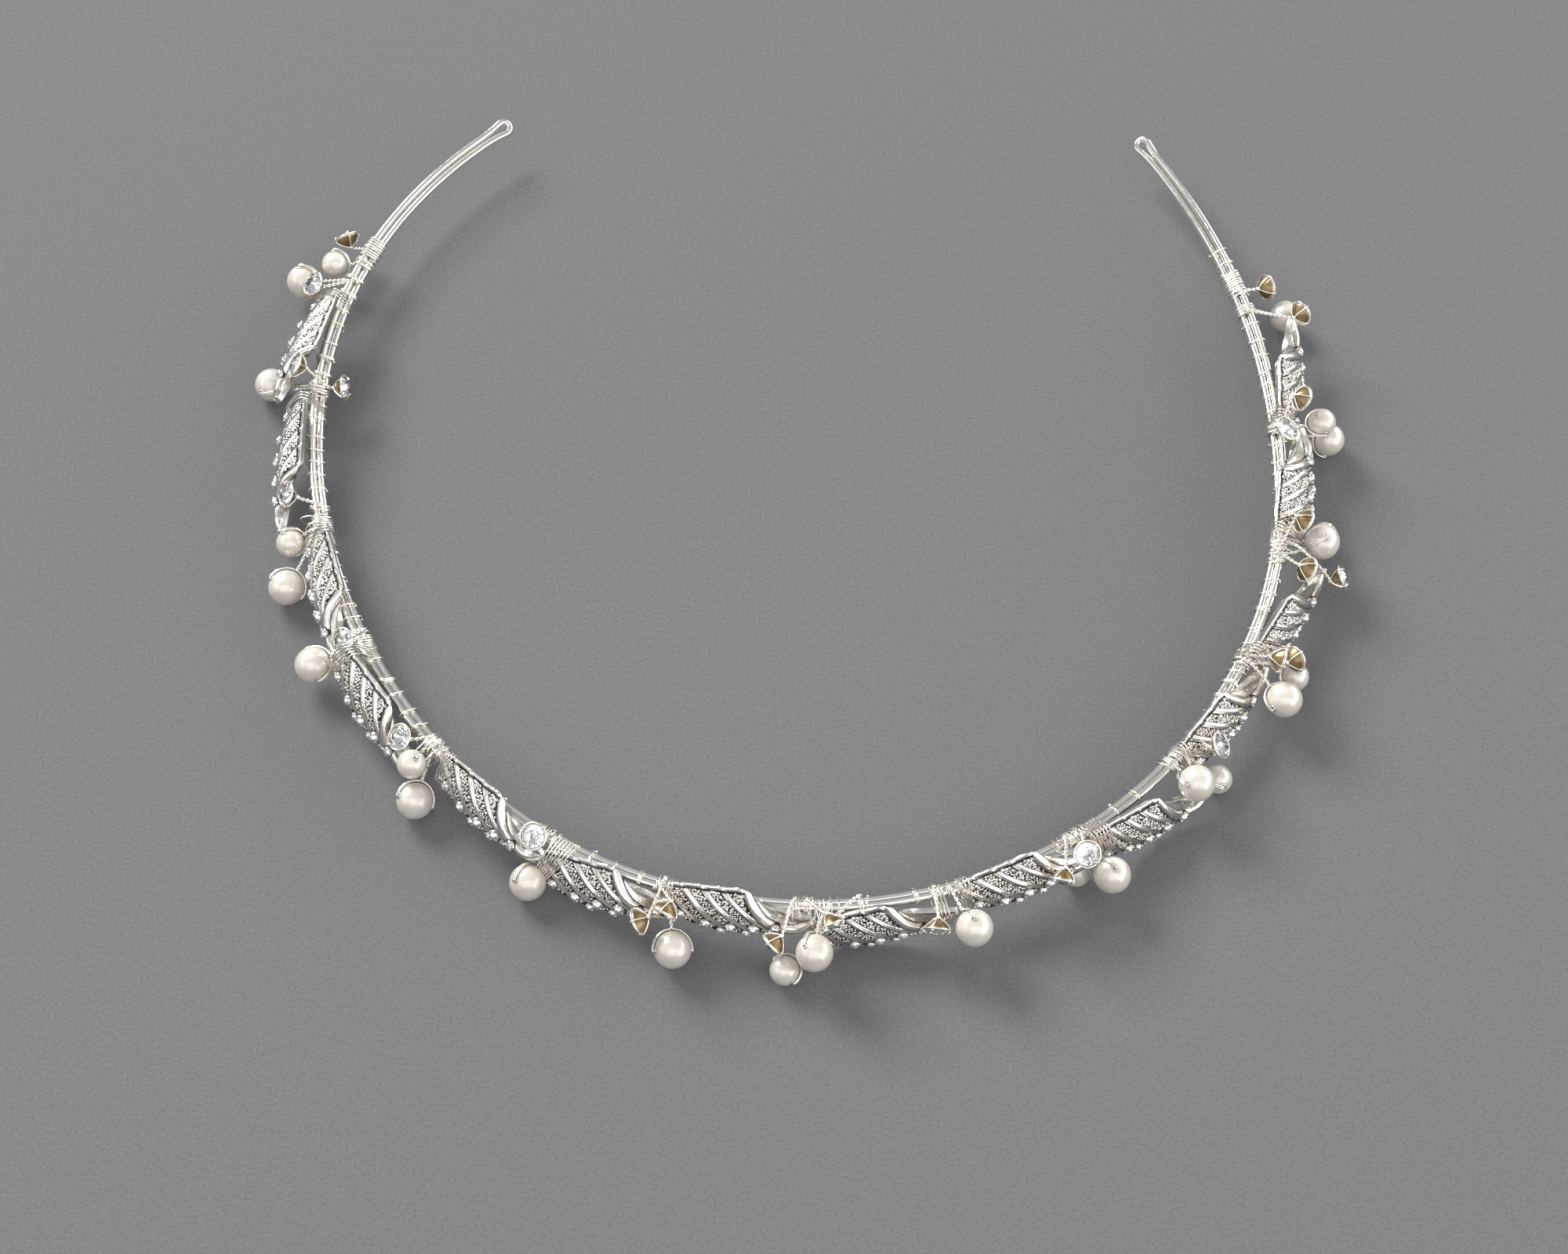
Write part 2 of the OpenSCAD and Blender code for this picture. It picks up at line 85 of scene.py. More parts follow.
# head's corner along the band, outward, rise, lean of the face, swing of the tail, turn in its face
LEAVES = [
    (-138.0, 2.6, 1.3, 43, 5, -6), (-118.5, 3.2, 0.1, 31, -2, -18), (-96.0, 1.2, 0.7, 34, 0, -8),
    (-76.5, 2.8, 0.0, 28, -9, -8), (-54.5, 1.0, 1.1, 26, 2, -1), (-36.0, 2.0, -0.3, 27, 1, 8),
    (-18.5, 1.1, 1.2, 23, 1, 2), (0.0, 2.0, -0.8, 10, 1, 9), (20.0, 1.4, 1.3, 21, 4, 3),
    (38.5, 3.1, -0.8, 14, 5, -10), (56.5, 1.1, 0.6, 25, 1, -4), (75.0, 3.2, 0.2, 16, 10, -8),
    (95.5, 1.0, 1.2, 47, 1, -6), (115.0, 2.7, 0.7, 31, 9, -7),
]
# share of the length, upper edge x y z, lower edge x y z, crown
LEAF_SECTIONS = np.array([
    (0.00, 0.0, 2.2, 0.0, 1.2, -3.0, 0.0, 0.3), (0.17, 2.7, 2.6, 0.0, 4.8, -4.3, 0.1, 1.0),
    (0.34, 5.4, 2.6, 0.0, 8.4, -4.6, 0.2, 1.3), (0.51, 8.0, 2.6, 0.0, 11.8, -4.4, 0.3, 1.3),
    (0.68, 10.6, 2.4, 0.1, 14.8, -3.9, 0.6, 1.0), (0.78, 12.6, 0.9, 0.4, 16.4, -3.5, 0.9, 0.2),
    (0.88, 15.6, 0.2, 0.7, 18.0, -2.8, 1.1, -0.5), (1.00, 19.6, -0.4, 1.0, 19.9, -1.4, 1.0, 0.0),
])
# small stones on a leaf: share of its length, share of its width, diameter
LEAF_STONES = [
    (0.05, 0.80, 1.2), (0.22, 0.80, 1.3), (0.39, 0.80, 1.4), (0.56, 0.80, 1.4),
    (0.73, 0.78, 1.2), (0.30, 0.95, 1.0), (0.47, 0.95, 1.0),
]
# place along the band, outward, height, diameter, turn of the bore, foot of the stem
PEARLS = [
    (-141.0, 8.0, 4.0, 5.0, 70, -142.0), (-144.5, 4.5, 5.0, 4.0, 50, -145.5),
    (-124.6, 7.9, 2.6, 4.8, -20, -122.5), (-97.0, 5.0, 5.0, 4.0, 60, -98.5),
    (-91.5, 7.0, 3.0, 5.0, 40, -97.5), (-78.3, 7.5, 4.2, 5.0, 0, -78.0),
    (-57.0, 4.5, 7.0, 4.0, -70, -58.5), (-54.5, 6.5, 2.8, 5.0, 40, -58.0),
    (-36.1, 5.8, 2.6, 5.0, 60, -37.5), (-16.0, 7.5, 3.0, 5.0, 20, -18.5), (1.0, 7.0, 6.0, 5.0, 60, 1.5),
    (-2.5, 7.8, 2.2, 4.0, 0, 8.0), (20.3, 6.9, 6.8, 5.0, 90, 19.0), (39.0, 7.0, 5.0, 5.0, 90, 38.0),
    (36.4, 2.9, 2.2, 4.0, 0, 37.0), (55.0, 5.0, 7.0, 5.0, 40, 55.5), (59.5, 5.5, 2.2, 4.0, 30, 55.0),
    (72.5, 7.5, 5.5, 5.0, 10, 75.0), (78.0, 7.0, 2.2, 4.0, -20, 76.5), (96.5, 6.0, 6.5, 5.0, 70, 92.5),
    (100.0, 6.5, 2.5, 4.0, 90, 95.0), (115.5, 6.5, 7.0, 4.0, 0, 115.0),
    (115.5, 8.0, 2.6, 4.6, -50, 115.0), (136.5, 6.5, 3.0, 4.6, 60, 137.0),
]
# place along the band, outward, height, turn and tip of the face, foot of the stem
CRYSTALS = [
    (-149.0, 5.0, 5.5, -40, 20, -148.0), (-138.5, 5.0, 8.0, 30, 50, -142.0),
    (-123.1, 3.2, 10.3, 0, 30, -122.5), (-103.0, 4.4, 7.9, 0, 35, -101.0),
    (-77.5, 3.0, 8.5, 10, 50, -78.0), (-61.0, 3.5, 7.6, -10, 55, -58.5), (-36.9, 2.6, 9.7, 10, 60, -37.5),
    (-17.5, 5.0, 8.5, -20, -30, -20.0), (-4.0, 6.0, 6.0, -50, -30, -1.5),
    (16.0, 5.6, 6.2, -20, -20, 17.0), (36.5, 4.5, 9.7, -20, 55, 38.5), (60.5, 4.5, 9.0, 30, 40, 60.5),
    (75.5, 5.0, 9.5, 20, -20, 75.5), (113.0, 1.0, 9.5, 0, 60, 114.5), (140.0, 4.5, 6.0, 10, -20, 140.0),
    (-122.5, -3.5, 6.0, 180, 10, -122.0), (-20.5, 6.5, 6.5, -60, -30, -19.0),
    (3.0, 5.0, 10.0, 20, -20, 0.0), (32.6, 5.5, 8.1, -40, -30, 36.5), (78.0, 6.5, 6.5, 60, -20, 74.0),
    (91.5, 4.5, 7.0, 10, -40, 94.0), (92.5, 9.5, 5.0, 20, 20, 95.5), (97.5, 3.0, 9.5, 0, -40, 92.5),
    (117.6, 3.5, 10.1, 0, -40, 115.5), (132.9, 7.0, 8.6, 30, -10, 136.5),
]
OWN_CRYSTALS = 15
# place along the band, turns
LASHINGS = [
    (-148.0, 8), (-121.2, 3), (-98.2, 6), (-77.0, 5), (-57.7, 2), (-37.4, 6), (-0.4, 5),
    (37.2, 4), (56.6, 2), (75.8, 3), (95.3, 4), (114.8, 3), (142.0, 8),
]


# Frames along the band
def tip(side):
    """Distance along the band to its right or left tip."""
    return side * sum(r * radians(a) for r, a in (RIGHT_ARCS if side > 0 else LEFT_ARCS))


def spot(s):
    """Place and heading of the band's middle at a distance along it from the front."""
    side, arcs = (1, RIGHT_ARCS) if s >= 0 else (-1, LEFT_ARCS)
    x, y = FRONT[:2]
    h = radians(FRONT[2]) + (0 if side > 0 else pi)
    left = abs(s)
    for i, (r, a) in enumerate(arcs):
        whole = r * radians(a)
        step = left if i == len(arcs) - 1 or left <= whole else whole
        cx, cy = x - side * r * sin(h), y + side * r * cos(h)
        h += side * step / r
        x, y = cx + side * r * sin(h), cy - side * r * cos(h)
        if step == left:
            break
        left -= whole
    return x, y, h if side > 0 else h - pi


def world(s, out, z):
    """A point a distance along the band, outward from its middle and at a height."""
    x, y, h = spot(s)
    return np.array([x + out * sin(h), y - out * cos(h), z])


def spin(axis, degrees):
    return Matrix.Rotation(radians(degrees), 4, axis)


def band_frame(s, out, z):
    """X along the band, -Y outward, Z up."""
    return Matrix.Translation(world(s, out, z).tolist()) @ Matrix.Rotation(spot(s)[2], 4, "Z")


def leaf_frame(i):
    s, out, rise, lean, swing, turn = LEAVES[i]
    return (band_frame(s + LEAF_MID, out, BAND_H + rise) @ spin("X", 90 - lean) @ spin("Y", -swing)
            @ spin("Z", turn) @ Matrix.Translation((-LEAF_MID, 0, 0)))


def stone_frame(c):
    return band_frame(*c[:3]) @ spin("Z", c[3] - 90) @ spin("Y", 90 - c[4])


def along(v):
    """The turn that takes Z to a direction."""
    return (Matrix.Rotation(atan2(v[1], v[0]), 4, "Z")
            @ Matrix.Rotation(acos(v[2] / np.linalg.norm(v)), 4, "Y"))


def pearl_frame(p):
    centre = world(*p[:3])
    return Matrix.Translation(centre.tolist()) @ along(world(p[5], 0, BAND_H) - centre) @ spin("Z", p[4])


def put(m, points):
    m = np.array(m)
    return np.asarray(points, float) @ m[:3, :3].T + m[:3, 3]


# Shapes
class Shape:
    """The points and faces of one piece, in millimetres, with the painted shade of each point."""

    def __init__(self):
        self.points, self.faces, self.materials, self.smooth, self.recess = [], [], [], [], []
        self.count = 0

    def add(self, points, faces, material=0, smooth=True, recess=None):
        base = self.count
        self.points.append(points)
        self.recess.append(np.zeros(len(points)) if recess is None else recess)
        self.count += len(points)
        self.faces += [tuple(base + i for i in f) for f in faces]
        self.materials += [material] * len(faces)
        self.smooth += [smooth] * len(faces)
        return self

    def paste(self, other, m):
        """Adds another shape where m puts it, with its own materials and smoothing."""
        self.add(put(m, np.concatenate(other.points)), other.faces, 0, True, np.concatenate(other.recess))
        n = len(other.faces)
        self.materials[-n:], self.smooth[-n:] = other.materials, other.smooth
        return self


def link(name, data):
    obj = bpy.data.objects.new(name, data)
    bpy.context.scene.collection.objects.link(obj)
    return obj


def piece(name, shape, materials, nodes):
    """One named piece in metres, which may take the place of some of the CAD's nodes."""
    mesh = bpy.data.meshes.new(name)
    points = np.concatenate(shape.points) * MM
    mesh.from_pydata(points.tolist(), [], shape.faces)
    mesh.polygons.foreach_set("material_index", shape.materials)
    mesh.polygons.foreach_set("use_smooth", shape.smooth)
    # The recess mark holds each point's painted shade, which the cast silver reads.
    mark = mesh.attributes.new("recess", "FLOAT", "POINT")
    mark.data.foreach_set("value", np.concatenate(shape.recess).astype(np.float32))
    for m in materials:
        mesh.materials.append(m)
    mesh.update()
    obj = link(name, mesh)
    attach(obj, "root")
    if nodes:
        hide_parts(*nodes)


def square_to(ahead, v):
    """The part of v square to a unit vector ahead, of length 1."""
    v = v - ahead * (v @ ahead)
    return v / np.linalg.norm(v)


def frames(path, closed=False):
    """Unit vectors ahead, aside and up at each point of a path, carried along it without twist."""
    if closed:
        ahead = np.roll(path, -1, 0) - np.roll(path, 1, 0)
    else:
        ahead = np.gradient(path, axis=0)
    ahead /= np.linalg.norm(ahead, axis=1)[:, None]
    aside = np.empty_like(path)
    v = np.eye(3)[np.argmin(abs(ahead[0]))]
    for i in range(len(path)):
        aside[i] = v = square_to(ahead[i], v)
    if closed:
        v = square_to(ahead[0], v)
        twist = atan2(np.cross(v, aside[0]) @ ahead[0], v @ aside[0])
        a = (twist * np.arange(len(path)) / len(path))[:, None]
        aside = aside * np.cos(a) + np.cross(ahead, aside) * np.sin(a)
    return ahead, aside, np.cross(ahead, aside)


def round_turn(n):
    """Angles a step apart, once round."""
    return 2 * pi * np.arange(n) / n


def flipped(faces):
    return [f[::-1] for f in faces]


def neighbours(n):
    """Each place round a ring, with the next one."""
    return [(j, (j + 1) % n) for j in range(n)]


def rings_to_faces(n, sides, closed):
    rings = neighbours(n) if closed else neighbours(n)[:-1]
    return [(a * sides + j, a * sides + k, b * sides + k, b * sides + j)
            for a, b in rings for j, k in neighbours(sides)]


def sweep(path, radius, sides, closed=False):
    """A round wire along a path."""
    path = np.asarray(path, float)
    _, aside, up = frames(path, closed)
    a = round_turn(sides)
    ring = aside[:, None] * np.cos(a)[None, :, None] + up[:, None] * np.sin(a)[None, :, None]
    r = np.broadcast_to(radius, len(path))
    points = (path[:, None] + ring * r[:, None, None]).reshape(-1, 3)
    faces = rings_to_faces(len(path), sides, closed)
    if not closed:
        faces.append(tuple(reversed(range(sides))))
        faces.append(tuple(range(len(points) - sides, len(points))))
    return points, faces


def lathe(profile, steps, closed=False):
    """A profile of (radius, height) turned about Z."""
    a = round_turn(steps)
    profile = np.asarray(profile, float)
    points = np.stack([
        profile[:, None, 0] * np.cos(a), profile[:, None, 0] * np.sin(a),
        np.repeat(profile[:, 1:2], steps, 1)], -1).reshape(-1, 3)
    return points, rings_to_faces(len(profile), steps, closed)


def smooth_path(points, per):
    """A smooth curve through a few points."""
    p = np.asarray(points, float)
    p = np.vstack([2 * p[0] - p[1], p, 2 * p[-1] - p[-2]])
    out = []
    for i in range(1, len(p) - 2):
        t = np.linspace(0, 1, per, endpoint=False)[:, None]
        out.append(0.5 * (2 * p[i] + (p[i + 1] - p[i - 1]) * t
                          + (2 * p[i - 1] - 5 * p[i] + 4 * p[i + 1] - p[i + 2]) * t ** 2
                          + (3 * p[i] - p[i - 1] - 3 * p[i + 1] + p[i + 2]) * t ** 3))
    return np.vstack(out + [p[-2:-1]])


def lengths(path):
    return np.concatenate([[0], np.cumsum(np.linalg.norm(np.diff(path, axis=0), axis=1))])


def even(path, step):
    """The same path with points a step apart."""
    at = lengths(path)
    n = max(2, int(round(at[-1] / step)) + 1)
    want = np.linspace(0, at[-1], n)
    return np.stack([np.interp(want, at, path[:, k]) for k in range(3)], -1)


# Materials
class Look:
    """A node tree in the making, of a material or of the room."""

    def __init__(self, owner, end):
        owner.use_nodes = True
        self.owner = owner
        self.nodes, self.links = owner.node_tree.nodes, owner.node_tree.links
        self.end = self.nodes[end]

    def fill(self, node, inputs):
        """Links another node's output to the input of that name, or sets a plain value on it."""
        for name, value in inputs.items():
            if isinstance(value, bpy.types.NodeSocket):
                self.links.new(value, node.inputs[name])
            else:
                node.inputs[name].default_value = value
        return node

    def node(self, kind, inputs):
        return self.fill(self.nodes.new(kind), inputs)

    def place(self, kind):
        return self.nodes.new("ShaderNodeTexCoord").outputs[kind]

    def noise(self, scale, detail=3.0, rough=0.5):
        return self.node("ShaderNodeTexNoise", {
            "Scale": scale, "Detail": detail, "Roughness": rough,
            "Vector": self.place("Object")}).outputs["Fac"]

    def spread(self, value, low, high, a=0.3, b=0.7):
        """A value from a to b, spread out from low to high."""
        return self.node("ShaderNodeMapRange", {
            "Value": value, "From Min": a, "From Max": b, "To Min": low, "To Max": high}).outputs["Result"]

    def fine(self, scale, low, high):
        """A value that varies finely between two."""
        return self.spread(self.noise(scale, 2.0), low, high)

    def maths(self, operation, *values, clamp=False):
        n = self.node("ShaderNodeMath", dict(enumerate(values)))
        n.operation, n.use_clamp = operation, clamp
        return n.outputs[0]

    def blend(self, fac, light, dark):
        mix = self.nodes.new("ShaderNodeMix")
        mix.data_type = "RGBA"
        for name, colour in (("A", light), ("B", dark)):
            socket = next(i for i in mix.inputs if i.name == name and i.type == "RGBA")
            if isinstance(colour, tuple):
                socket.default_value = (*colour, 1)
            else:
                self.links.new(colour, socket)
        self.fill(mix, {"Factor": fac})
        return next(o for o in mix.outputs if o.type == "RGBA")

    def bump(self, height, strength, distance):
        return self.node("ShaderNodeBump", {
            "Strength": strength, "Distance": distance, "Height": height}).outputs["Normal"]

    def done(self, inputs):
        """The last node's inputs, and the finished material."""
        self.fill(self.end, inputs)
        return self.owner


def material(name):
    return Look(bpy.data.materials.new(name), "Principled BSDF")


def cast_silver():
    """Bright cast silver with brown-black painted shade in the recesses, and the fine skin of a casting."""
    look = material("cast_silver")
    mark = look.nodes.new("ShaderNodeAttribute")
    mark.attribute_name = "recess"
    recess = mark.outputs["Fac"]
    # Painted shade: the recess mark, mottled by noise, darkens the colour toward brown-black and roughens it.
    shade_mottle = look.spread(look.noise(900.0, 4.0, 0.6), 0.0, 0.35, 0.35, 0.7)
    dark = look.maths("MULTIPLY_ADD", recess, 1.0, look.maths("MULTIPLY", shade_mottle, recess), clamp=True)
    warm = look.blend(look.spread(look.noise(180.0), 0.0, 1.0), (0.975, 0.948, 0.90), (0.925, 0.888, 0.825))
    return look.done({
        "Base Color": look.blend(dark, warm, (0.045, 0.033, 0.027)), "Metallic": 1.0,
        "Roughness": look.maths("MULTIPLY_ADD", dark, 0.35, look.fine(700.0, 0.11, 0.24)),
        "Normal": look.bump(look.noise(2600.0), 0.35, 0.00006)})


def wire_silver(name, light, dark, low, high):
    """Drawn wire: finely uneven, with a faint tarnish."""
    look = material(name)
    tone = look.spread(look.noise(260.0, 4.0, 0.6), 0.0, 1.0, 0.35, 0.7)
    return look.done({
        "Base Color": look.blend(tone, light, dark), "Metallic": 1.0,
        "Roughness": look.fine(1400.0, low, high),
        "Normal": look.bump(look.noise(1500.0, 2.0), 0.2, 0.00005)})


def pearl_nacre():
    """Nacre: an ivory body, faintly cloudy, under a soft deep sheen."""
    look = material("pearl_nacre")
    cloud = look.spread(look.noise(320.0, 3.0, 0.55), 0.0, 1.0)
    return look.done({
        "Base Color": look.blend(cloud, (0.81, 0.762, 0.69), (0.74, 0.682, 0.605)), "Metallic": 0.24,
        "Subsurface Weight": 0.15, "Subsurface Radius": (1.0, 0.72, 0.55), "Subsurface Scale": 0.0012,
        "Roughness": look.fine(900.0, 0.26, 0.34), "Specular IOR Level": 0.9,
        "Coat Weight": 0.8, "Coat Roughness": 0.16, "Sheen Weight": 0.18, "Sheen Roughness": 0.35,
        "Normal": look.bump(look.noise(700.0, 2.0), 0.12, 0.00008)})


def cut_glass():
    """Cut glass: clear and faintly uneven."""
    look = material("cut_glass")
    return look.done({
        "Base Color": look.blend(look.fine(500.0, 0.0, 1.0), (1.0, 1.0, 1.0), (0.93, 0.95, 0.97)),
        "Transmission Weight": 1.0, "IOR": 1.58, "Roughness": look.fine(1800.0, 0.0, 0.03)})


def foiled_glass():
    """Small stones with their foil fused on: bright facets that mirror the room."""
    look = material("foiled_glass")
    return look.done({
        "Base Color": look.blend(look.fine(800.0, 0.0, 1.0), (0.98, 0.985, 1.0), (0.80, 0.82, 0.86)),
        "Metallic": 0.85, "Roughness": look.fine(1800.0, 0.02, 0.09),
        "Coat Weight": 1.0, "Coat Roughness": 0.02})


def foil(name, light, dark, low, high):
    """Painted foil on the back of a stone, a little creased."""
    look = material(name)
    tone = look.spread(look.noise(900.0, 4.0, 0.65), 0.0, 1.0)
    return look.done({
        "Base Color": look.blend(tone, light, dark), "Metallic": 1.0,
        "Roughness": look.fine(1200.0, low, high),
        "Normal": look.bump(look.noise(1600.0), 0.4, 0.0001)})


CAST = cast_silver()
BAND = wire_silver("band_silver", (0.94, 0.915, 0.868), (0.865, 0.832, 0.772), 0.08, 0.17)
FINE = wire_silver("binding_silver", (0.97, 0.945, 0.895), (0.91, 0.87, 0.80), 0.20, 0.34)
PEARL = pearl_nacre()
GLASS = cut_glass()
FOILED_GLASS = foiled_glass()
GOLD_FOIL = foil("gold_foil", (0.384, 0.292, 0.166), (0.248, 0.17, 0.078), 0.30, 0.48)
MIRROR_FOIL = foil("mirror_foil", (0.96, 0.955, 0.95), (0.80, 0.77, 0.74), 0.02, 0.10)


# The band: one closed wire, run out and back and looped at both tips
def pair_point(s, across, off=0.0):
    """A point beside the band's middle: across the pair, and off its plane."""
    lean = radians(LEAN)
    out = across * sin(lean) - off * cos(lean)
    return world(s, out, BAND_H + across * cos(lean) + off * sin(lean))


def tip_path(side):
    """The loop at a tip: it flares out of the pair, goes round and comes back."""
    x, y, h = spot(tip(side))
    m = (Matrix.Translation((x, y, BAND_H)) @ Matrix.Rotation(h, 4, "Z")
         @ Matrix.Diagonal((side, 1, 1, 1)) @ spin("X", 90 + LEAN))
    flare = radians(LOOP_FLARE)
    half = PITCH / 2
    r = (LOOP_R * cos(flare) - half) / (1 - cos(flare))
    first = [(r * sin(a), half + r * (1 - cos(a)), 0) for a in np.linspace(0, flare, 5)[1:-1]]
    cx = (r + LOOP_R) * sin(flare)
    loop = [(cx + LOOP_R * cos(a), LOOP_R * sin(a), 0)
            for a in np.linspace(pi / 2 + flare, -pi / 2 - flare, 22)]
    last = [(a, -b, 0) for a, b, _ in reversed(first)]
    return put(m, first + loop + last)


def band():
    stations = np.linspace(tip(-1), tip(1), 300)
    outer = [pair_point(s, PITCH / 2) for s in stations]
    inner = [pair_point(s, -PITCH / 2) for s in stations[::-1]]
    path = np.vstack([outer, tip_path(1), inner, tip_path(-1)[::-1]])
    at = np.arange(len(path))
    radius = WIRE_D / 2 + WAVER * np.sin(at * 0.9) * np.sin(at * 0.23)
    piece("band_wire", Shape().add(*sweep(path, radius, 16, True)), [BAND], ["band"])


# Leaves
def column(k, u):
    """A column of the sections' table, smoothly between its rows."""
    knots, values = LEAF_SECTIONS[:, 0], LEAF_SECTIONS[:, k]
    slopes = np.gradient(values, knots)
    i = np.clip(np.searchsorted(knots, u, side="right") - 1, 0, len(knots) - 2)
    w = knots[i + 1] - knots[i]
    t = (u - knots[i]) / w
    return ((2 * t ** 3 - 3 * t ** 2 + 1) * values[i] + (t ** 3 - 2 * t ** 2 + t) * w * slopes[i]
            + (3 * t ** 2 - 2 * t ** 3) * values[i + 1] + (t ** 3 - t ** 2) * w * slopes[i + 1])


def leaf_at(u, v):
    """A point on the smooth face: u along the leaf, v from its upper to its lower edge."""
    u, v = np.broadcast_arrays(u, v)
    a = [column(k, u) for k in range(1, 8)]
    return np.stack([a[0] + (a[3] - a[0]) * v, a[1] + (a[4] - a[1]) * v,
                     a[2] + (a[5] - a[2]) * v + a[6] * np.sin(np.pi * v)], -1)


def leaf_normal(u, v):
    e = 0.01   # share of the leaf to look at on either side
    du = leaf_at(np.clip(u + e, 0, 1), v) - leaf_at(np.clip(u - e, 0, 1), v)
    dv = leaf_at(u, v - e) - leaf_at(u, v + e)
    n = np.cross(du, dv)
    return n / np.linalg.norm(n, axis=-1)[..., None]


def ridge(x, middle, half, height):
    """A half-round ridge."""
    return height * np.sqrt(np.clip(1 - ((x - middle) / half) ** 2, 0, None))


def soft(x, a, b):
    """A smooth step from 0 at a to 1 at b."""
    t = np.clip((x - a) / (b - a), 0, 1)
    return t * t * (3 - 2 * t)


# the middle of the tail's smooth curled rim, in the leaf's plane
RIM = smooth_path([(10.7, 2.3, 0), (11.5, 0.9, 0), (12.6, -0.7, 0), (13.9, -1.9, 0),
                   (15.6, -2.6, 0), (17.4, -2.5, 0), (18.9, -1.6, 0), (19.7, -0.7, 0)], 12)[:, :2]


def rim_distance(p):
    """Distance in the leaf's plane to the tail's rim, side, positive at the hollow, and share of the rim."""
    d = p[:, None] - RIM[None]
    near = np.argmin((d ** 2).sum(-1), 1)
    ahead = np.gradient(RIM, axis=0)[near]
    off = d[np.arange(len(p)), near]
    side = np.sign(ahead[:, 0] * off[:, 1] - ahead[:, 1] * off[:, 0])
    return np.sqrt((off ** 2).sum(-1)), side, near / (len(RIM) - 1)


def strip_share(u, v):
    """Place across a strip of grain and ribs, as the strips lean over the face."""
    return ((u - SLANT * (v - RIB_PIVOT)) / STRIP) % 1.0


def leaf_relief(u, v, p):
    """Height over the smooth face and painted shade of the recesses, at each point."""
    w = strip_share(u, v)
    swell = 0.8 + 0.35 * np.sin(np.pi * v)
    body = u < BODY_END
    grain = soft(w, 0.02, 0.05) * (1 - soft(w, 0.57, 0.61))
    ribs = np.maximum.reduce([ridge(w, middle, half * swell, height) for middle, half, height in RIBS])
    fade = soft(1 - v, 0.0, 0.06)
    # Painted shade on the ground between the grains and in the valleys between the ribs; the tail beyond the
    # body is shaded evenly.
    between = (1 - grain) * 0.8 * np.clip(1 - ribs / 0.09, 0, 1)
    high = np.where(body, GRAIN_RISE * grain + ribs * fade, GRAIN_RISE)
    dark = np.where(body, np.clip(GROUND_SHADE * grain + between, 0, 1), GROUND_SHADE)
    dist, side, share = rim_distance(p[:, :2])
    past = (side > 0) & (u > RIM_FROM)
    half = RIM_R * (0.5 + 0.5 * np.sin(np.pi * np.clip(share * 0.86 + 0.08, 0, 1)))
    hollow = past * soft(dist, 0.2, 1.1)
    high = np.where(past, -DISH * hollow, high)
    # Painted shade in the tail's dish, a little uneven.
    dark = np.where(past, 0.18 + 0.12 * np.sin(7 * p[:, 0]) * np.sin(9 * p[:, 1]), dark)
    rim = ridge(dist, 0, half, RIM_RISE) * (u > RIM_FROM)
    high = np.maximum(high, rim - GRAIN_RISE)
    beside = (rim > 0) | ((dist < half + 0.14) & (u > RIM_FROM))
    # Painted shade round the rim's foot; the rim's top stays bright.
    dark = np.where(rim > 0.10, 0.0, np.where(beside, 0.75, dark))
    top = ridge(v, 0.028, 0.040, 0.24) * (1 - soft(u, 0.64, 0.70))
    under = (v > 0.05) & (v < 0.10) & (u < 0.66)
    head = ridge(u, 0.006, 0.016, 0.24)
    foot = ridge(v, 0.985, 0.022, 0.12)
    tip = ridge(v, 0.02, 0.05, 0.14) * soft(u, 0.78, 0.84)
    edge = np.maximum.reduce([top, head, foot, tip])
    # Painted shade just under the top edge; the raised edges stay bright.
    dark = np.where(under, np.maximum(dark, GROUND_SHADE), dark)
    high = np.maximum(high, edge)
    dark = np.where(edge > 0.05, 0.0, dark)
    for su, sv, d in LEAF_STONES:
        r = np.linalg.norm(p[:, :2] - leaf_at(su, sv)[:2], axis=1)
        high = np.where(r < d / 2 + 0.05, 0.02, high)
        # Painted shade round each small stone.
        dark = np.where((r < d / 2 + 0.26) & (edge < 0.05), np.maximum(dark, 0.9), dark)
    return high, dark


def grid_faces(columns, rows):
    """Faces of a grid of points, one column after another."""
    return [(j * rows + i, (j + 1) * rows + i, (j + 1) * rows + i + 1, j * rows + i + 1)
            for j in range(columns - 1) for i in range(rows - 1)]


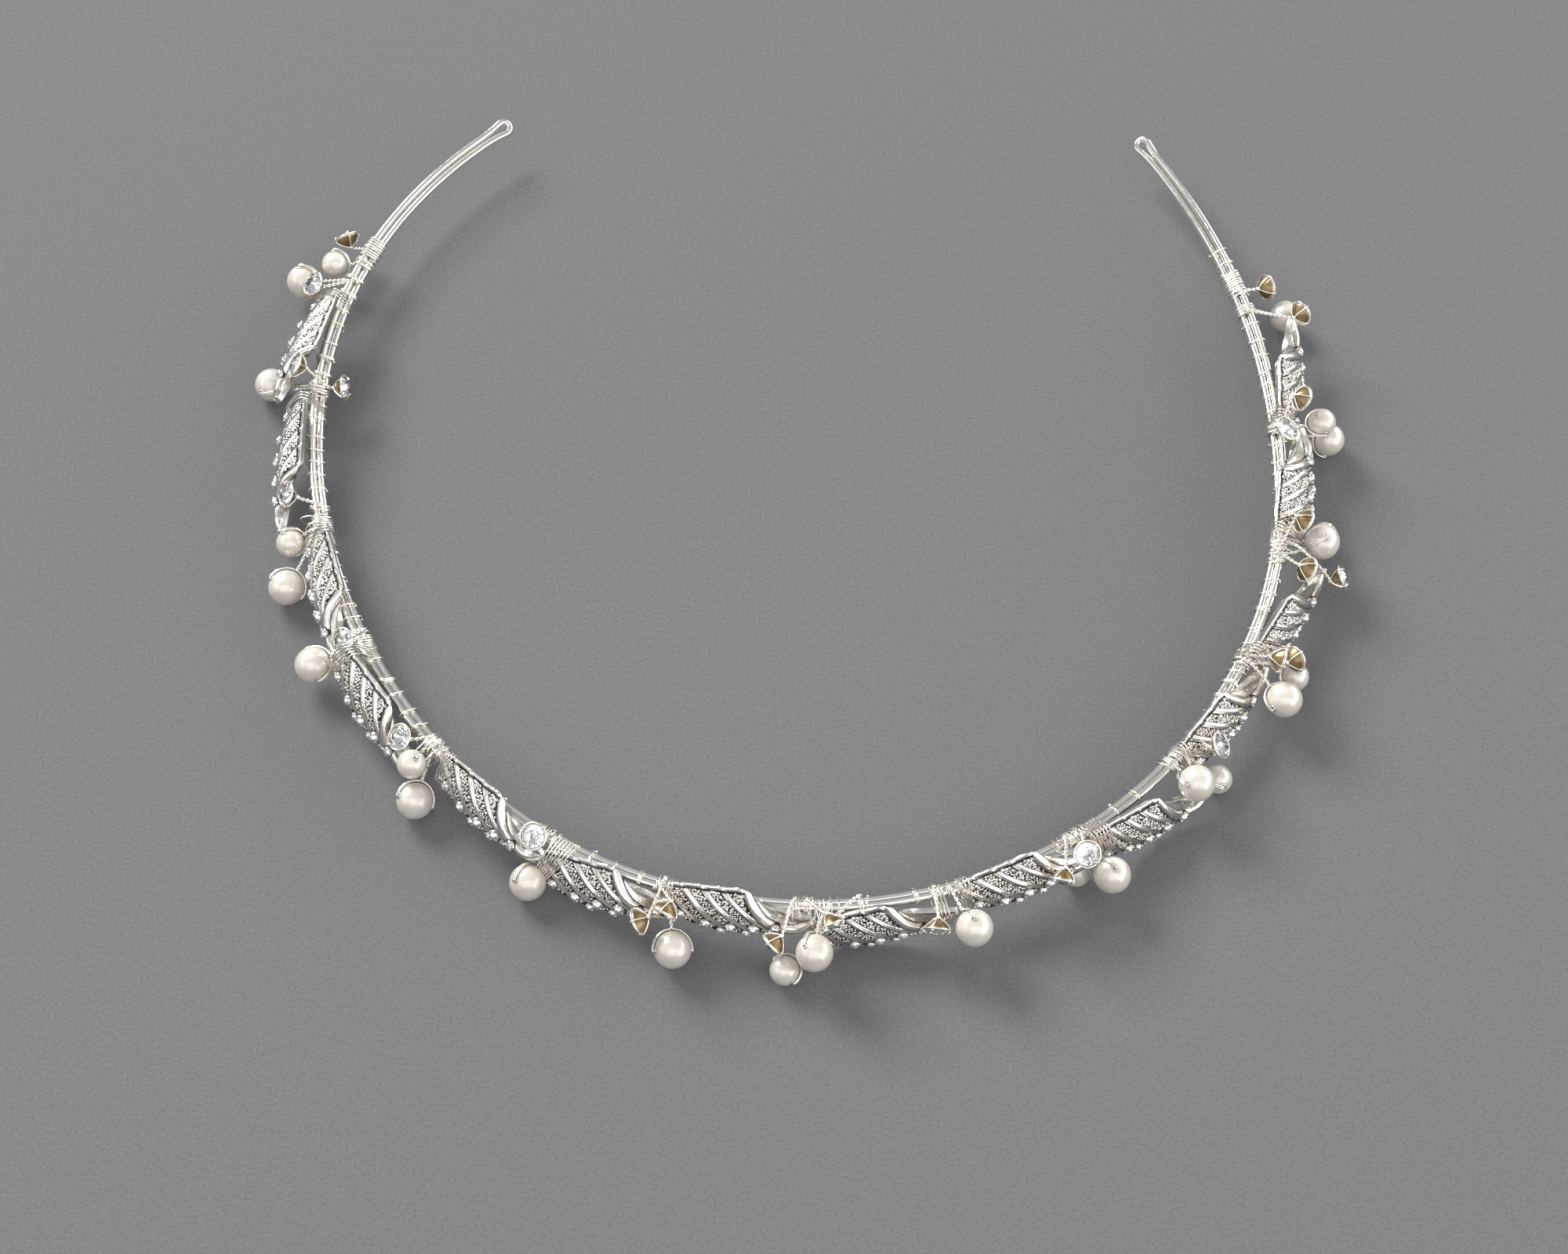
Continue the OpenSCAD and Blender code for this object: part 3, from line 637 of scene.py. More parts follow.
def leaf_shape():
    """One casting: the face with its relief, a plainer back and the walls between them."""
    columns, rows = 196, 40
    us, vs = np.linspace(0, 1, columns), np.linspace(0, 1, rows)
    vs = 0.35 * (0.5 - 0.5 * np.cos(np.pi * vs)) + 0.65 * vs   # rows lie closer at the edges
    u, v = [g.ravel() for g in np.meshgrid(us, vs, indexing="ij")]
    smooth = leaf_at(u, v)
    n = leaf_normal(u, v)
    high, dark = leaf_relief(u, v, smooth)
    w = strip_share(u, v)
    lobe = 0.32 * np.exp(-((w - 0.32) / 0.22) ** 2) + 0.10 * np.exp(-((w - 0.81) / 0.12) ** 2) - 0.10
    lobe *= soft(v, 0.75, 1.0) * (1 - soft(u, 0.66, 0.74))
    grit = 0.035 * jitter(len(u)) * (dark > 0.8) * (dark < 0.9)
    face = smooth + n * (high + grit)[:, None]
    face[:, 1] -= lobe
    # The face's painted shade goes in as its recess mark.
    shape = Shape().add(face, grid_faces(columns, rows), 0, True, dark)
    # The back has fewer rows and the same columns, and walls join it to the face.
    few = [0, 5, 12, 20, 27, 34, rows - 1]
    back_u, back_v = [g.ravel() for g in np.meshgrid(us, vs[few], indexing="ij")]
    back = leaf_at(back_u, back_v) - leaf_normal(back_u, back_v) * LEAF_WALL
    back[:, 1] -= lobe.reshape(columns, rows)[:, few].ravel()
    inset = 0.12 * (np.abs(back_v - 0.5) > 0.499)
    back[:, 1] += inset * np.sign(back_v - 0.5)
    back += 0.02 * jitter(back.shape) * (np.abs(back_v - 0.5) < 0.45)[:, None]
    k = len(few)
    base = shape.count
    # The back gets an even share of painted shade.
    shape.add(back, [f[:1] + f[:0:-1] for f in grid_faces(columns, k)], 0, True, np.full(len(back), 0.3))
    walls = []
    for j in range(columns - 1):
        a, b = j * rows, base + j * k
        walls += [(a + rows, a, b, b + k), (a + rows - 1, a + 2 * rows - 1, b + 2 * k - 1, b + k - 1)]
    for column_at, flip in ((0, False), (columns - 1, True)):
        for i in range(k - 1):
            a, b = column_at * rows, base + column_at * k + i
            wall = (*range(a + few[i], a + few[i + 1] + 1), b + 1, b)
            walls.append(wall[::-1] if flip else wall)
    shape.faces += walls
    shape.materials += [0] * len(walls)
    shape.smooth += [False] * len(walls)
    return shape


def drop(r, sides=6):
    """A low bead on the face: a ring, a smaller ring and its top."""
    a = round_turn(sides)
    low = np.stack([r * np.cos(a), r * np.sin(a), np.zeros(sides)], -1)
    mid = np.stack([0.78 * r * np.cos(a + 0.5), 0.78 * r * np.sin(a + 0.5), np.full(sides, 0.62 * r)], -1)
    points = np.vstack([low, mid, [[0, 0, r * 0.95]]])
    faces = [(j, k, sides + j) for j, k in neighbours(sides)]
    faces += [(k, sides + k, sides + j) for j, k in neighbours(sides)]
    faces += [(sides + j, sides + k, 2 * sides) for j, k in neighbours(sides)]
    return points, faces


def seat(u, v, rise=0.0):
    """The frame at a place on the smooth face, or over it: Z along the normal."""
    up = leaf_normal(u, v)
    return Matrix.Translation((leaf_at(u, v) + up * rise).tolist()) @ along(up)


def near_stone(p, gap):
    """Whether a point is nearer than a gap to a small stone's edge."""
    return any(np.linalg.norm(p[:2] - leaf_at(u, v)[:2]) < d / 2 + gap for u, v, d in LEAF_STONES)


# rows of beads: place along the leaf, first and last share of its width, lean
BEAD_ROWS = [((k + w) * STRIP, 0.10, 0.93, SLANT) for k in range(5) for w in GRAIN_ROWS]
BEAD_ROWS += [(0.70, 0.10, 0.93, 0), (0.722, 0.16, 0.93, 0), (0.744, 0.30, 0.93, 0), (0.766, 0.42, 0.93, 0)]
BEAD_ROWS += [(u, 0.14, 0.55, 0) for u in (0.80, 0.826, 0.852, 0.878, 0.904, 0.93)]


def beads(shape):
    """The milgrain beads, row after row, where rim, ribs and stones leave room for them."""
    for u, v0, v1, slant in BEAD_ROWS:
        across = np.linspace(v0, v1, 60)
        whole = lengths(leaf_at(u + slant * (across - RIB_PIVOT), across))
        n = max(2, int(whole[-1] / BEAD_PITCH))
        for t in (np.arange(n) + 0.5) / n:
            v = float(np.interp(t * whole[-1], whole, across))
            uu = u + slant * (v - RIB_PIVOT) + 0.0032 * jitter()
            v += 0.008 * jitter()
            p = leaf_at(uu, v)
            dist, side, _ = rim_distance(p[None, :2])
            at_rim = uu > RIM_FROM and dist[0] < RIM_CLEAR
            if at_rim or (slant and not 0.012 < uu < BODY_END - 0.005) or near_stone(p, 0.22):
                continue
            rise = 0.06 - DISH if uu > RIM_FROM and side[0] > 0 else 0.02
            points, faces = drop(BEAD_R * (1 + 0.17 * jitter()))
            points = points * [uniform(0.80, 1.30), uniform(0.80, 1.15), uniform(0.7, 1.2)]
            m = seat(uu, v, rise) @ spin("Z", uniform(0, 180))
            # Painted shade round each bead's foot; its top stays bright.
            dark = np.r_[np.full(6, 0.75), np.full(6, 0.05), 0.0]
            shape.add(put(m, points), faces, 0, RNG.random() < 0.6, dark)


def nuggets(shape):
    """The larger grains along the lower edge."""
    for k, w in product(range(4), (0.20, 0.40, 0.60)):
        u = (k + w) * STRIP + 0.004 * jitter()
        v = 0.95 + 0.012 * jitter()
        if near_stone(leaf_at(u, v), 0.34):
            continue
        points, faces = drop(NUGGET_R * (1 + 0.12 * jitter()), 7)
        # Painted shade round each grain's foot; the rest stays bright.
        shape.add(put(seat(u, v, 0.04), points), faces, 0, False, np.r_[np.full(7, 0.6), np.zeros(8)])


def settings(shape):
    """A collar and four prongs for each small stone."""
    steps, top = 20, RIB_H + CLEAR + 0.10
    # Painted shade down the collar's outer foot and inside it; its top stays bright.
    dark = np.repeat([0.9, 0.4, 0.0, 0.0, 0.3, 1.0, 1.0], steps)
    for u, v, d in LEAF_STONES:
        m, r = seat(u, v), d / 2
        collar = [(r + 0.20, -0.15), (r + 0.17, 0.22), (r + 0.15, top - 0.05), (r + 0.09, top),
                  (r + 0.03, top - 0.04), (r + 0.02, 0.30), (0.05, 0.28)]
        points, faces = lathe(collar, steps)
        shape.add(put(m, points), faces, 0, True, dark)
        for a in np.radians([45, 135, 225, 315]):
            points, faces = drop(PRONG_R)
            shape.add(put(m, points + [(r + 0.02) * cos(a), (r + 0.02) * sin(a), top - 0.04]), faces)


def leaves():
    base = leaf_shape()
    for dress in (beads, nuggets, settings):
        dress(base)
    for i in range(len(LEAVES)):
        cast = Shape().paste(base, leaf_frame(i))
        piece(f"leaf_cast_{i + 1:02d}", cast, [CAST], [f"leaf_{i + 1:02d}"])


# Stones
def facet_ring(n, radius, z, turn):
    a = np.radians(turn + 360 / n * np.arange(n))
    return np.stack([radius * np.cos(a), radius * np.sin(a), np.full(n, z)], -1)


def brilliant(d, crown, edge, depth):
    """A round stone with a table, stars, kites, a sixteen-sided girdle and a faceted back."""
    r = d / 2
    points = np.vstack([
        facet_ring(8, r * STONE_TABLE, crown, 22.5), facet_ring(8, r * 0.83, crown * 0.52, 0),
        facet_ring(16, r, edge / 2, 0), facet_ring(16, r, -edge / 2, 0)])
    k, g, b = 8, 16, 32   # first points of kites, girdle and its lower edge; the table's start at 0
    faces = [tuple(range(8))]
    for j, n in neighbours(8):
        faces += [(j, k + n, n), (j, k + j, g + (2 * j + 1) % 16, k + n),
                  (k + j, g + 2 * j, g + 2 * j + 1), (k + j, g + (2 * j - 1) % 16, g + 2 * j)]
    faces += [(g + j, b + j, b + n, g + n) for j, n in neighbours(16)]
    if depth:
        low = len(points)
        middle = -edge / 2 - (depth - edge / 2) * 0.5
        points = np.vstack([points, facet_ring(8, r * 0.52, middle, 22.5), [[0, 0, -depth]]])
        for j, n in neighbours(8):
            past = b + (2 * j + 2) % 16
            faces += [(b + 2 * j, low + j, b + 2 * j + 1), (b + 2 * j + 1, low + j, past),
                      (past, low + j, low + n), (low + j, low + 8, low + n)]
    else:
        faces.append(tuple(reversed(range(b, b + 16))))
    return points, faces


def foil_back():
    """The foil behind a stone: mirror bright inside; brownish gold outside, with a thin silver lip."""
    r, depth, steps = STONE_D / 2, -STONE_BACK - 0.05, 28
    inner = [(r + 0.01, -0.05), (STONE_D * 0.26 + 0.02, -0.68), (0.03, depth)]
    lip = [(r + 0.03, 0.06), (r + 0.09, 0.0), (r + 0.09, -0.20)]
    cone = [(r + 0.02, -0.30), (STONE_D * 0.44, -0.52), (STONE_D * 0.32, -0.88), (STONE_D * 0.20, -1.12),
            (STONE_D * 0.10, -1.27), (0.02, depth - 0.08)]
    shape = Shape().add(*lathe(inner, 16), 0, False)
    points, faces = lathe(lip + cone, steps)
    shape.add(points, flipped(faces), 1, True)
    shape.materials[-len(faces):] = [1 if f[0] >= 2 * steps else 2 for f in faces]
    return shape


def crystals():
    """The cut stones: a piece for each that shows best, one for the tucked ones and one for all foils."""
    stone, facets = brilliant(STONE_D, STONE_CROWN, STONE_EDGE, STONE_BACK)
    back = foil_back()
    tucked, foils = Shape(), Shape()
    for i, c in enumerate(CRYSTALS, 1):
        m = stone_frame(c)
        foils.paste(back, m)
        shape = Shape() if i <= OWN_CRYSTALS else tucked
        shape.add(put(m, stone), facets, 0, False)
        if i <= OWN_CRYSTALS:
            piece(f"crystal_cut_{i:02d}", shape, [GLASS], [f"crystal_{i:02d}"])
    piece("tucked_crystal_cuts", tucked, [GLASS], ["tucked_crystals"])
    piece("crystal_foils", foils, [MIRROR_FOIL, GOLD_FOIL, FINE], ())


def small_stones():
    shape = Shape()
    for i in range(len(LEAVES)):
        for su, sv, d in LEAF_STONES:
            m = leaf_frame(i) @ seat(su, sv) @ Matrix.Translation((0, 0, RIB_H + CLEAR))
            points, faces = brilliant(d, d * 0.32, 0.04, 0)
            shape.add(put(m, points), faces, 0, False)
    piece("leaf_stone_cuts", shape, [FOILED_GLASS], ["leaf_stones"])


# Pearls
def pearl_shape(p):
    """A drilled pearl, a little out of round, with faint rings."""
    r, bore = p[3] / 2, PEARL_BORE / 2
    edge = asin(bore * 1.10 / r)
    a = np.linspace(edge, pi - edge, 30)
    outer = [(r * sin(t), r * cos(t)) for t in a]
    z = r * cos(edge) - 0.05
    inner = [(bore, -z), (bore, -z * 0.4), (bore, z * 0.4), (bore, z)]
    points, faces = lathe(outer + inner, 44, True)
    out = np.linalg.norm(points, axis=1) > r * 0.97
    x, y, z = points.T
    wobble = np.sin(x * 1.3 + p[0]) + np.sin(y * 1.1 + p[1]) + np.sin(z * 1.7 + p[0] * 0.7)
    rings = np.sin(z * 5.5 + p[0])
    points = points * (1 + out * (0.0035 * wobble + 0.0012 * rings))[:, None]
    return points, flipped(faces)


def pearls():
    for i, p in enumerate(PEARLS, 1):
        points, faces = pearl_shape(p)
        shape = Shape().add(put(pearl_frame(p) @ spin("X", 90), points), faces)
        piece(f"pearl_round_{i:02d}", shape, [PEARL], [f"pearl_{i:02d}"])


# Wires
class Room:
    """What a stem has to pass: the leaves' CAD solids, the pearls and the set stones."""

    # more than any gap that matters, how far to look, how deep a point can lie in a leaf
    FAR, SEARCH, INSIDE = 9.0, 3.0, 0.7

    def __init__(self):
        meshes = [frame["nodes"][f"leaf_{i + 1:02d}"].data for i in range(len(LEAVES))]
        self.leaves = [BVHTree.FromPolygons([tuple(v.co / MM) for v in mesh.vertices],
                                            [tuple(f.vertices) for f in mesh.polygons]) for mesh in meshes]
        self.balls = [(world(*p[:3]), p[3] / 2) for p in PEARLS]
        self.balls += [(put(stone_frame(c), [(0, 0, -0.3)])[0], STONE_D / 2 + 0.2) for c in CRYSTALS]

    def clearance(self, path, mine):
        """The least gap along a path; the pearl or stone that it starts from doesn't count."""
        least = self.FAR
        for k, p in enumerate(path):
            for tree in self.leaves:
                place, normal, _, gap = tree.find_nearest(Vector(p), self.SEARCH)
                if place is not None:
                    inside = (Vector(p) - place).dot(normal) < 0 and gap < self.INSIDE
                    least = min(least, -gap if inside else gap)
            for q, (centre, r) in enumerate(self.balls):
                if q != mine and k > 1:
                    least = min(least, np.linalg.norm(p - centre) - r)
        return least


# ways to try for a stem: shift of its foot, the foot's seat across and off the pair, lift of its middle
FOOT_SHIFTS, FOOT_SEATS = (0.0, 0.8, -0.8, 1.6, -1.6), ((0.0, 1.1), (0.9, 0.9), (-0.3, 1.15))
LIFTS, ROOM_ENOUGH = (0.0, 0.8, 1.6, 2.6), 0.45


def route(room, start, heading, s, mine):
    """A stem's way from its bead or ring to the band: the straightest one with room round it."""
    best = None
    t = np.linspace(0, 1, 22)[:, None]
    for shift, (across, off), lift in product(FOOT_SHIFTS, FOOT_SEATS, LIFTS):
        foot = pair_point(s + shift, across, off)
        pull = np.array([0, 0, lift])
        a = start + heading * np.linalg.norm(foot - start) * 0.30 + pull * 0.7
        b = foot + (start - foot) * 0.30 + pull
        path = start * (1 - t) ** 3 + 3 * a * t * (1 - t) ** 2 + 3 * b * t ** 2 * (1 - t) + foot * t ** 3
        score = min(room.clearance(path[2:], mine), ROOM_ENOUGH) - 0.03 * lift - 0.02 * abs(shift)
        if best is None or score > best[0]:
            best = (score, path, s + shift)
    return best[1:]


def twisted(shape, path, strand_r, apart, pitch, start):
    """Two strands wound round one another along a path."""
    path = even(path, 0.16)
    _, aside, up = frames(path)
    turn = 2 * pi * lengths(path) / pitch + start
    for phase in (0, pi):
        a = (turn + phase)[:, None]
        shape.add(*sweep(path + apart * (aside * np.cos(a) + up * np.sin(a)), strand_r, 6))


def stadium(t, grow):
    """A point on the line round the pair at a share of the way round: across, off."""
    half_way = PITCH + pi * grow
    x = (t % 1.0) * 2 * half_way
    sign = 1 if x < half_way else -1
    x -= half_way * (sign < 0)
    if x < PITCH:
        return sign * (x - PITCH / 2), sign * grow
    a = (x - PITCH) / grow
    return sign * (PITCH / 2 + grow * sin(a)), sign * grow * cos(a)


def winding(shape, s0, turns, pitch, wire_d, loose, sides=6, start=0.0, skew=0.0):
    """Wire wound round the pair from s0 on."""
    per = 22   # points a turn
    wobble = uniform(-0.03, 0.03, int(turns) + 3)
    path = []
    for i in range(int(turns * per) + 1):
        t = i / per
        waver = wobble[int(t)]
        grow = WIRE_D / 2 + CLEAR * 0.6 + wire_d / 2 + loose + waver * 0.6 + 0.01 * sin(t * 9)
        across, off = stadium(t + start, grow)
        path.append(pair_point(s0 + t * pitch + skew * off + waver * sin(2 * pi * t), across, off))
    shape.add(*sweep(path, wire_d / 2, sides))


def lashings():
    shape = Shape()
    pitch = LASH_D + TURN_GAP
    for s, n in LASHINGS:
        winding(shape, s - pitch * n / 2, n, pitch, LASH_D, loose=0.02, sides=7)
    piece("lashing_wire", shape, [FINE], ["lashings"])


# thin wraps: first and last place, half of the stretch where they lie wide apart, gaps there and beyond
WRAPS_FROM, WRAPS_TO, WIDE_HALF, WIDE_GAPS, CLOSE_GAPS = -150.0, 146, 62, (3.2, 6.6), (2.0, 3.4)


def single_wraps():
    """The thin binding wire that goes once round the pair every few millimetres."""
    shape = Shape()
    taken = [(s - 0.25 * n - 0.4, s + 0.25 * n + 0.4) for s, n in LASHINGS]
    s = WRAPS_FROM
    while s < WRAPS_TO:
        s += uniform(*(WIDE_GAPS if abs(s) < WIDE_HALF else CLOSE_GAPS))
        if any(a < s < b for a, b in taken):
            continue
        turns, pitch, loose = RNG.choice([1.05, 1.05, 2.05]), uniform(0.22, 0.34), uniform(0.0, 0.10)
        start, skew = uniform(0, 1), uniform(-0.25, 0.25)
        winding(shape, s, turns, pitch, WRAP_D, loose, start=start, skew=skew)
    piece("binding_wraps", shape, [FINE], ())


def half_hull(points):
    out = []
    for x, y in points:
        while len(out) > 1:
            (ax, ay), (bx, by) = out[-2:]
            if (bx - ax) * (y - ay) - (by - ay) * (x - ax) > 0:
                break
            out.pop()
        out.append((x, y))
    return out


def hull(points):
    """The convex outline of points in a plane, in order."""
    pts = sorted(map(tuple, np.round(points, 6)))
    return np.array(half_hull(pts)[:-1] + half_hull(reversed(pts))[:-1])


# leaf, first strand from its corner, strands, their spacing on the band and on the face, slant down the face
FANS = [
    (0, 0.5, 3, 0.50, 0.50, -0.3), (1, 0.4, 3, 0.45, 0.42, -0.3), (2, 0.3, 3, 0.50, 0.45, -0.4),
    (3, 0.5, 5, 0.48, 0.36, -0.9), (4, 0.5, 3, 0.48, 0.40, -0.3), (5, 0.9, 7, 0.50, 0.24, -1.4),
    (6, 0.4, 2, 0.50, 0.40, -0.3), (7, 0.5, 4, 0.60, 0.50, -0.6), (8, 0.2, 3, 0.50, 0.40, 0.4),
    (9, 0.4, 6, 0.50, 0.30, 0.9), (10, 0.4, 2, 0.50, 0.40, 0.3), (11, 0.3, 4, 0.50, 0.40, 0.3),
    (12, 0.3, 3, 0.50, 0.40, 0.3), (13, 0.6, 3, 0.50, 0.40, 0.3), (7, 16.6, 4, 0.45, 0.40, 0.4),
]
# shares of a leaf's width, at its top and below
FAN_SHARES = ((0.0, 0.12, 0.25, 0.4), (0.5, 0.62, 0.75, 0.88, 1.0))
FACE_LIFT, BAND_GAP = 0.42, 0.12   # from the leaf's smooth face and from the band to a strand's middle


def fan_outline(leaf, x, x_low):
    """The line round leaf and pair that a strand follows: outward, height."""
    section = []
    for place, shares in zip((x, max(0.2, x_low)), FAN_SHARES):
        for v in shares:
            run = LEAF_SECTIONS[:, 1] + (LEAF_SECTIONS[:, 4] - LEAF_SECTIONS[:, 1]) * v
            u = float(np.interp(place, run, LEAF_SECTIONS[:, 0]))
            p, up = leaf_at(u, v), leaf_normal(u, v)
            section += [p + up * FACE_LIFT, p - up * LEAF_WALL]
    x0, y0, h = spot(LEAVES[leaf][0] + x)
    outward = np.array([sin(h), -cos(h)])
    flat = [((p[:2] - [x0, y0]) @ outward, p[2]) for p in put(leaf_frame(leaf), section)]
    lean, r = radians(LEAN), WIRE_D / 2 + BAND_GAP
    for half in (-PITCH / 2, PITCH / 2):
        cx, cz = half * sin(lean), BAND_H + half * cos(lean)
        flat += [(cx + r * cos(a), cz + r * sin(a)) for a in round_turn(16)]
    line = hull(flat)
    line = np.column_stack([line, np.zeros(len(line))])
    line = np.vstack([line, line[:1]])
    return even(smooth_path(even(line, 0.9), 4), 0.30)[:-1, :2]


def fans():
    """Binding wire over the head of each leaf and round the pair behind it."""
    shape = Shape()
    for leaf, first, strands, top_gap, low_gap, slant in FANS:
        for k in range(strands):
            x, x_low = first + k * top_gap, first + k * low_gap + slant
            line = fan_outline(leaf, x, x_low)
            low, high = line[:, 1].min(), line[:, 1].max()
            path = []
            for out, z in line:
                share = (high - z) / (high - low) * (out > 1.0)
                s = LEAVES[leaf][0] + x + (x_low - x) * share + 0.03 * sin(5 * out + k)
                path.append(world(s, out + 0.10 * (out > 1.0), z + 0.12 * (z > BAND_H)))
            shape.add(*sweep(path, FAN_R + WAVER * jitter(), 6, True))
    piece("binding_fans", shape, [FINE], ())


def loose_loops():
    """Loops of thin wire that the binding leaves round the stems at each lashing."""
    shape = Shape()
    for place, _ in LASHINGS[1:-1]:
        for _ in range(4):
            s, far = place + uniform(-1.6, 1.6), uniform(1.8, 3.6)
            up, side = uniform(0.3, 1.9), uniform(-1.3, 1.3)
            spots = [(s, -1.25, 0.1), (s + 0.2, -0.3, 1.35), (s + side * 0.5, 1.3, 1.2 + up * 0.5),
                     (s + side, far, up), (s + side * 1.1, far * 0.85, up - 1.5),
                     (s + side * 0.4, 1.2, -1.1), (s - 0.2, 0.0, -1.45)]
            line = [world(a, out, BAND_H + z) for a, out, z in spots]
            line = smooth_path(line[-2:] + line + line[:2], 7)[14:-7]
            shape.add(*sweep(line[:-1], LOOSE_R, 6, True))
    piece("binding_loops", shape, [FINE], ())


def pearl_threads(shape, m, d, ring_r):
    """Two strands through a pearl's bore and round it, and a coil at each mouth of the bore."""
    for gap in (-0.14, 0.14):
        hole = [(gap * 0.3, y, 0.0) for y in (0.0, d * 0.25, d / 2 - 0.2)]
        turn_in = [(gap * 0.6, d / 2 + 0.12, -0.12)]
        arc = [(gap, ring_r * cos(a), ring_r * sin(a)) for a in np.radians(np.linspace(-6, 90, 22))]
        for side in (1, -1):
            line = np.array(hole + turn_in + arc) * [1, side, 1]
            shape.add(*sweep(put(m, even(smooth_path(line, 6), 0.22)), STRAND_R, 7))
    for side in (1, -1):
        coil = [(0.42 * cos(a), side * (d / 2 + 0.02 + 0.05 * a / 6.28), 0.42 * sin(a))
                for a in np.linspace(0, 2 * pi * 1.15, 26)]
        shape.add(*sweep(put(m, coil), COIL_R, 6))


def pearl_wires(room):
    shape = Shape()
    for i, p in enumerate(PEARLS):
        m = pearl_frame(p)
        ring_r = p[3] / 2 + CLEAR + THREAD_D / 2
        pearl_threads(shape, m, p[3], ring_r)
        start, ahead = put(m, [(0, 0, ring_r - 0.1), (0, 0, ring_r + 0.9)])
        path, foot = route(room, start, ahead - start, p[5], i)
        twisted(shape, path, strand_r=0.16, apart=0.15, pitch=1.5, start=p[0])
        winding(shape, foot - 0.3, turns=1.6, pitch=0.36, wire_d=0.28, loose=0.12, start=0.1)
    piece("pearl_wire_twists", shape, [FINE], ["pearl_wires"])


def claw():
    """The middle line and the radii of one claw, from the bead under the stone up over its edge."""
    line = smooth_path([
        (0.22, 0, CUP_FLOOR + 0.10), (0.60, 0, CUP_FLOOR + 0.26), (1.06, 0, CUP_FLOOR + 0.62),
        (CUP_R - 0.26, 0, CUP_FLOOR + 1.08), (CUP_R - 0.02, 0, -0.15), (CUP_R - 0.03, 0, 0.20),
        (CUP_R - 0.20, 0, 0.38), (CUP_R - 0.40, 0, 0.42)], 5)
    n = len(line)
    at = [0, n * 0.6, n * 0.75, n - 3, n - 1]
    return line, np.interp(np.arange(n), at, [0.11, 0.11, 0.15, 0.14, 0.10])


def cups(room):
    """For each cut stone a ring, four claws, the bead under its point, and a twisted stem."""
    shape = Shape()
    ring = [(CUP_R * cos(a), CUP_R * sin(a), 0.0) for a in round_turn(40)]
    bend, radii = claw()
    a = np.linspace(0.02, pi - 0.02, 10)
    bead, bead_faces = lathe(np.stack([CUP_BEAD_R * np.sin(a), CUP_BEAD_R * np.cos(a)], -1), 14)
    for i, c in enumerate(CRYSTALS):
        m = stone_frame(c)
        way = put(m.inverted(), [world(c[5], 0, BAND_H)])[0]
        facing = m @ Matrix.Rotation(atan2(way[1], way[0]), 4, "Z")
        shape.add(*sweep(put(facing, ring), (CUP_WIRE - 0.06) / 2, 8, True))
        for k in range(4):
            shape.add(*sweep(put(facing @ spin("Z", 45 + 90 * k), bend), radii, 7))
        shape.add(put(facing @ Matrix.Translation((0, 0, CUP_FLOOR)), bead), flipped(bead_faces))
        start, foot = put(m, [(0, 0, CUP_FLOOR), way])
        heading = (foot - start) / np.linalg.norm(foot - start)
        path, s = route(room, start, heading, c[5], len(PEARLS) + i)
        twisted(shape, path, strand_r=0.15, apart=0.14, pitch=1.4, start=c[0])
        winding(shape, s - 0.2, turns=1.4, pitch=0.34, wire_d=0.26, loose=0.14, start=0.3)
    piece("crystal_cup_wires", shape, [FINE], ["crystal_cups"])


# Build
band()
leaves()
small_stones()
crystals()
pearls()
ROOM = Room()
pearl_wires(ROOM)
cups(ROOM)
lashings()
single_wraps()
fans()
loose_loops()


# Floor, light and camera, in metres
FLOOR_HALF = 3.0
# soft boxes that face the middle of the table: name, place, width and height, watts, colour
LAMPS = [
    ("key", (-0.93, 1.10, 1.05), (0.90, 0.70), 38.0, (1.0, 0.99, 0.97)),
    ("front_over", (0.05, -1.05, 1.15), (2.0, 1.2), 9.0, (0.99, 0.99, 1.0)),
    ("left_box", (-1.30, -0.30, 0.70), (1.2, 0.8), 2.6, (0.98, 0.99, 1.0)),
    ("right_box", (1.25, -0.60, 0.55), (1.3, 0.9), 8.0, (1.0, 0.99, 0.98)),
    ("back_right", (1.20, 0.65, 0.48), (1.5, 0.85), 8.5, (1.0, 0.99, 0.98)),
]
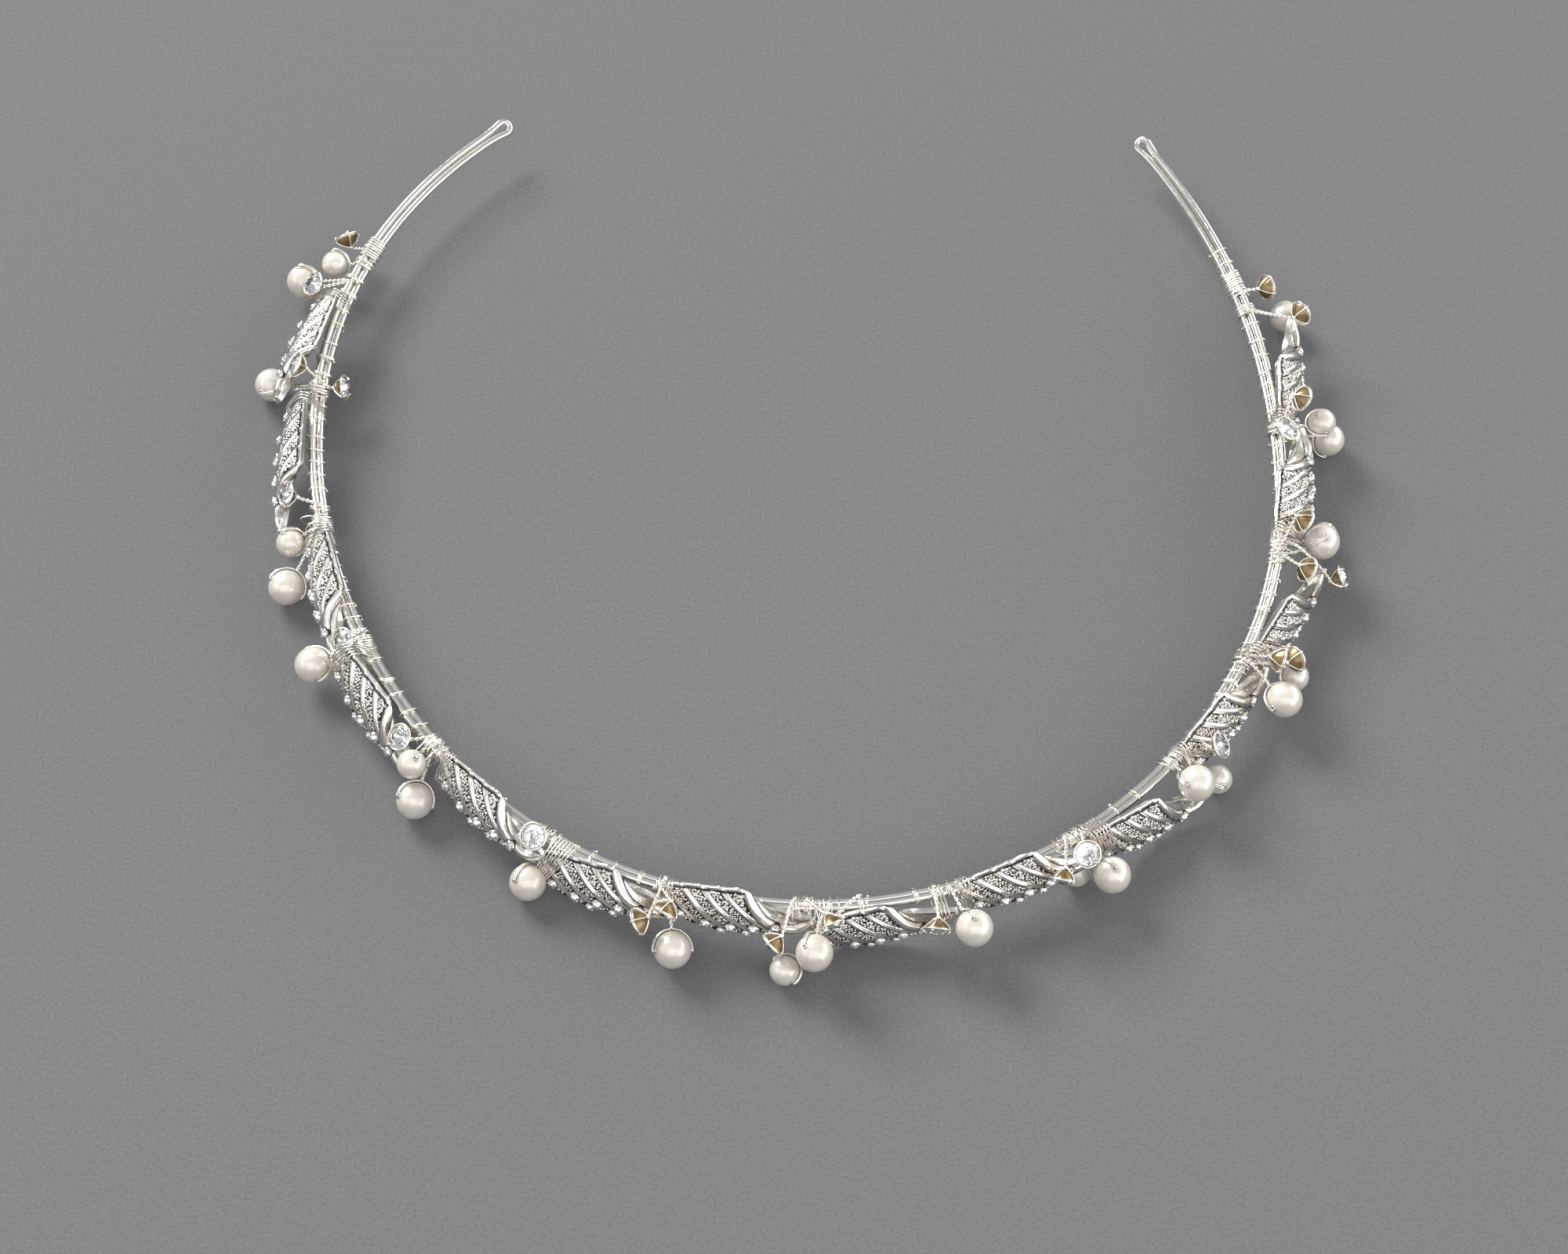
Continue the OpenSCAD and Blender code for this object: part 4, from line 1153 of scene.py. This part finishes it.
# the photo's camera: what it looks at, its angle over the table and its distance
VIEW_TARGET, VIEW_UP, VIEW_AWAY = Vector((-0.0018, -0.0191, 0.006)), 58.0, 0.490
SENSOR_MM, LENS_MM = 36.0, 81.14
ROOM_LOW, ROOM_HIGH = 0.22, 0.52   # strength of the room's own light, from the horizon up


def aim(obj, place, target):
    obj.location = place
    obj.rotation_euler = (Vector(target) - Vector(place)).to_track_quat("-Z", "Y").to_euler()


def floor():
    look = material("floor_paper")
    tone = look.spread(look.noise(2400.0, 3.0, 0.8), 0.0, 1.0, 0.35, 0.65)
    mesh = bpy.data.meshes.new("floor")
    corners = [(x * FLOOR_HALF, y * FLOOR_HALF, 0) for x, y in ((-1, -1), (1, -1), (1, 1), (-1, 1))]
    mesh.from_pydata(corners, [], [(0, 1, 2, 3)])
    mesh.materials.append(look.done({
        "Base Color": look.blend(tone, (0.132, 0.132, 0.134), (0.177, 0.177, 0.179)),
        "Roughness": 0.9, "Specular IOR Level": 0.2}))
    obj = link("floor", mesh)


def lamps():
    for name, place, size, power, colour in LAMPS:
        light = bpy.data.lights.new(name, "AREA")
        light.shape = "RECTANGLE"
        light.size, light.size_y = size
        light.energy, light.color = power, colour
        aim(link(name, light), place, (0, 0, 0))


def camera():
    data = bpy.data.cameras.new("camera")
    data.sensor_width, data.lens = SENSOR_MM, LENS_MM
    data.clip_start, data.clip_end = 0.01, 10.0
    up = radians(VIEW_UP)
    obj = link("camera", data)
    aim(obj, VIEW_TARGET + VIEW_AWAY * Vector((0, -cos(up), sin(up))), VIEW_TARGET)
    bpy.context.scene.camera = obj


def studio():
    """A dim room round the soft boxes, a little lighter overhead."""
    look = Look(bpy.data.worlds.new("studio"), "Background")
    height = look.node("ShaderNodeSeparateXYZ", {0: look.place("Generated")}).outputs["Z"]
    bpy.context.scene.world = look.done({
        "Strength": look.spread(height, ROOM_LOW, ROOM_HIGH, 0.0, 0.8), "Color": (0.97, 0.98, 1.0, 1)})


floor()
lamps()
camera()
studio()
bpy.context.scene.view_settings.view_transform = "Standard"
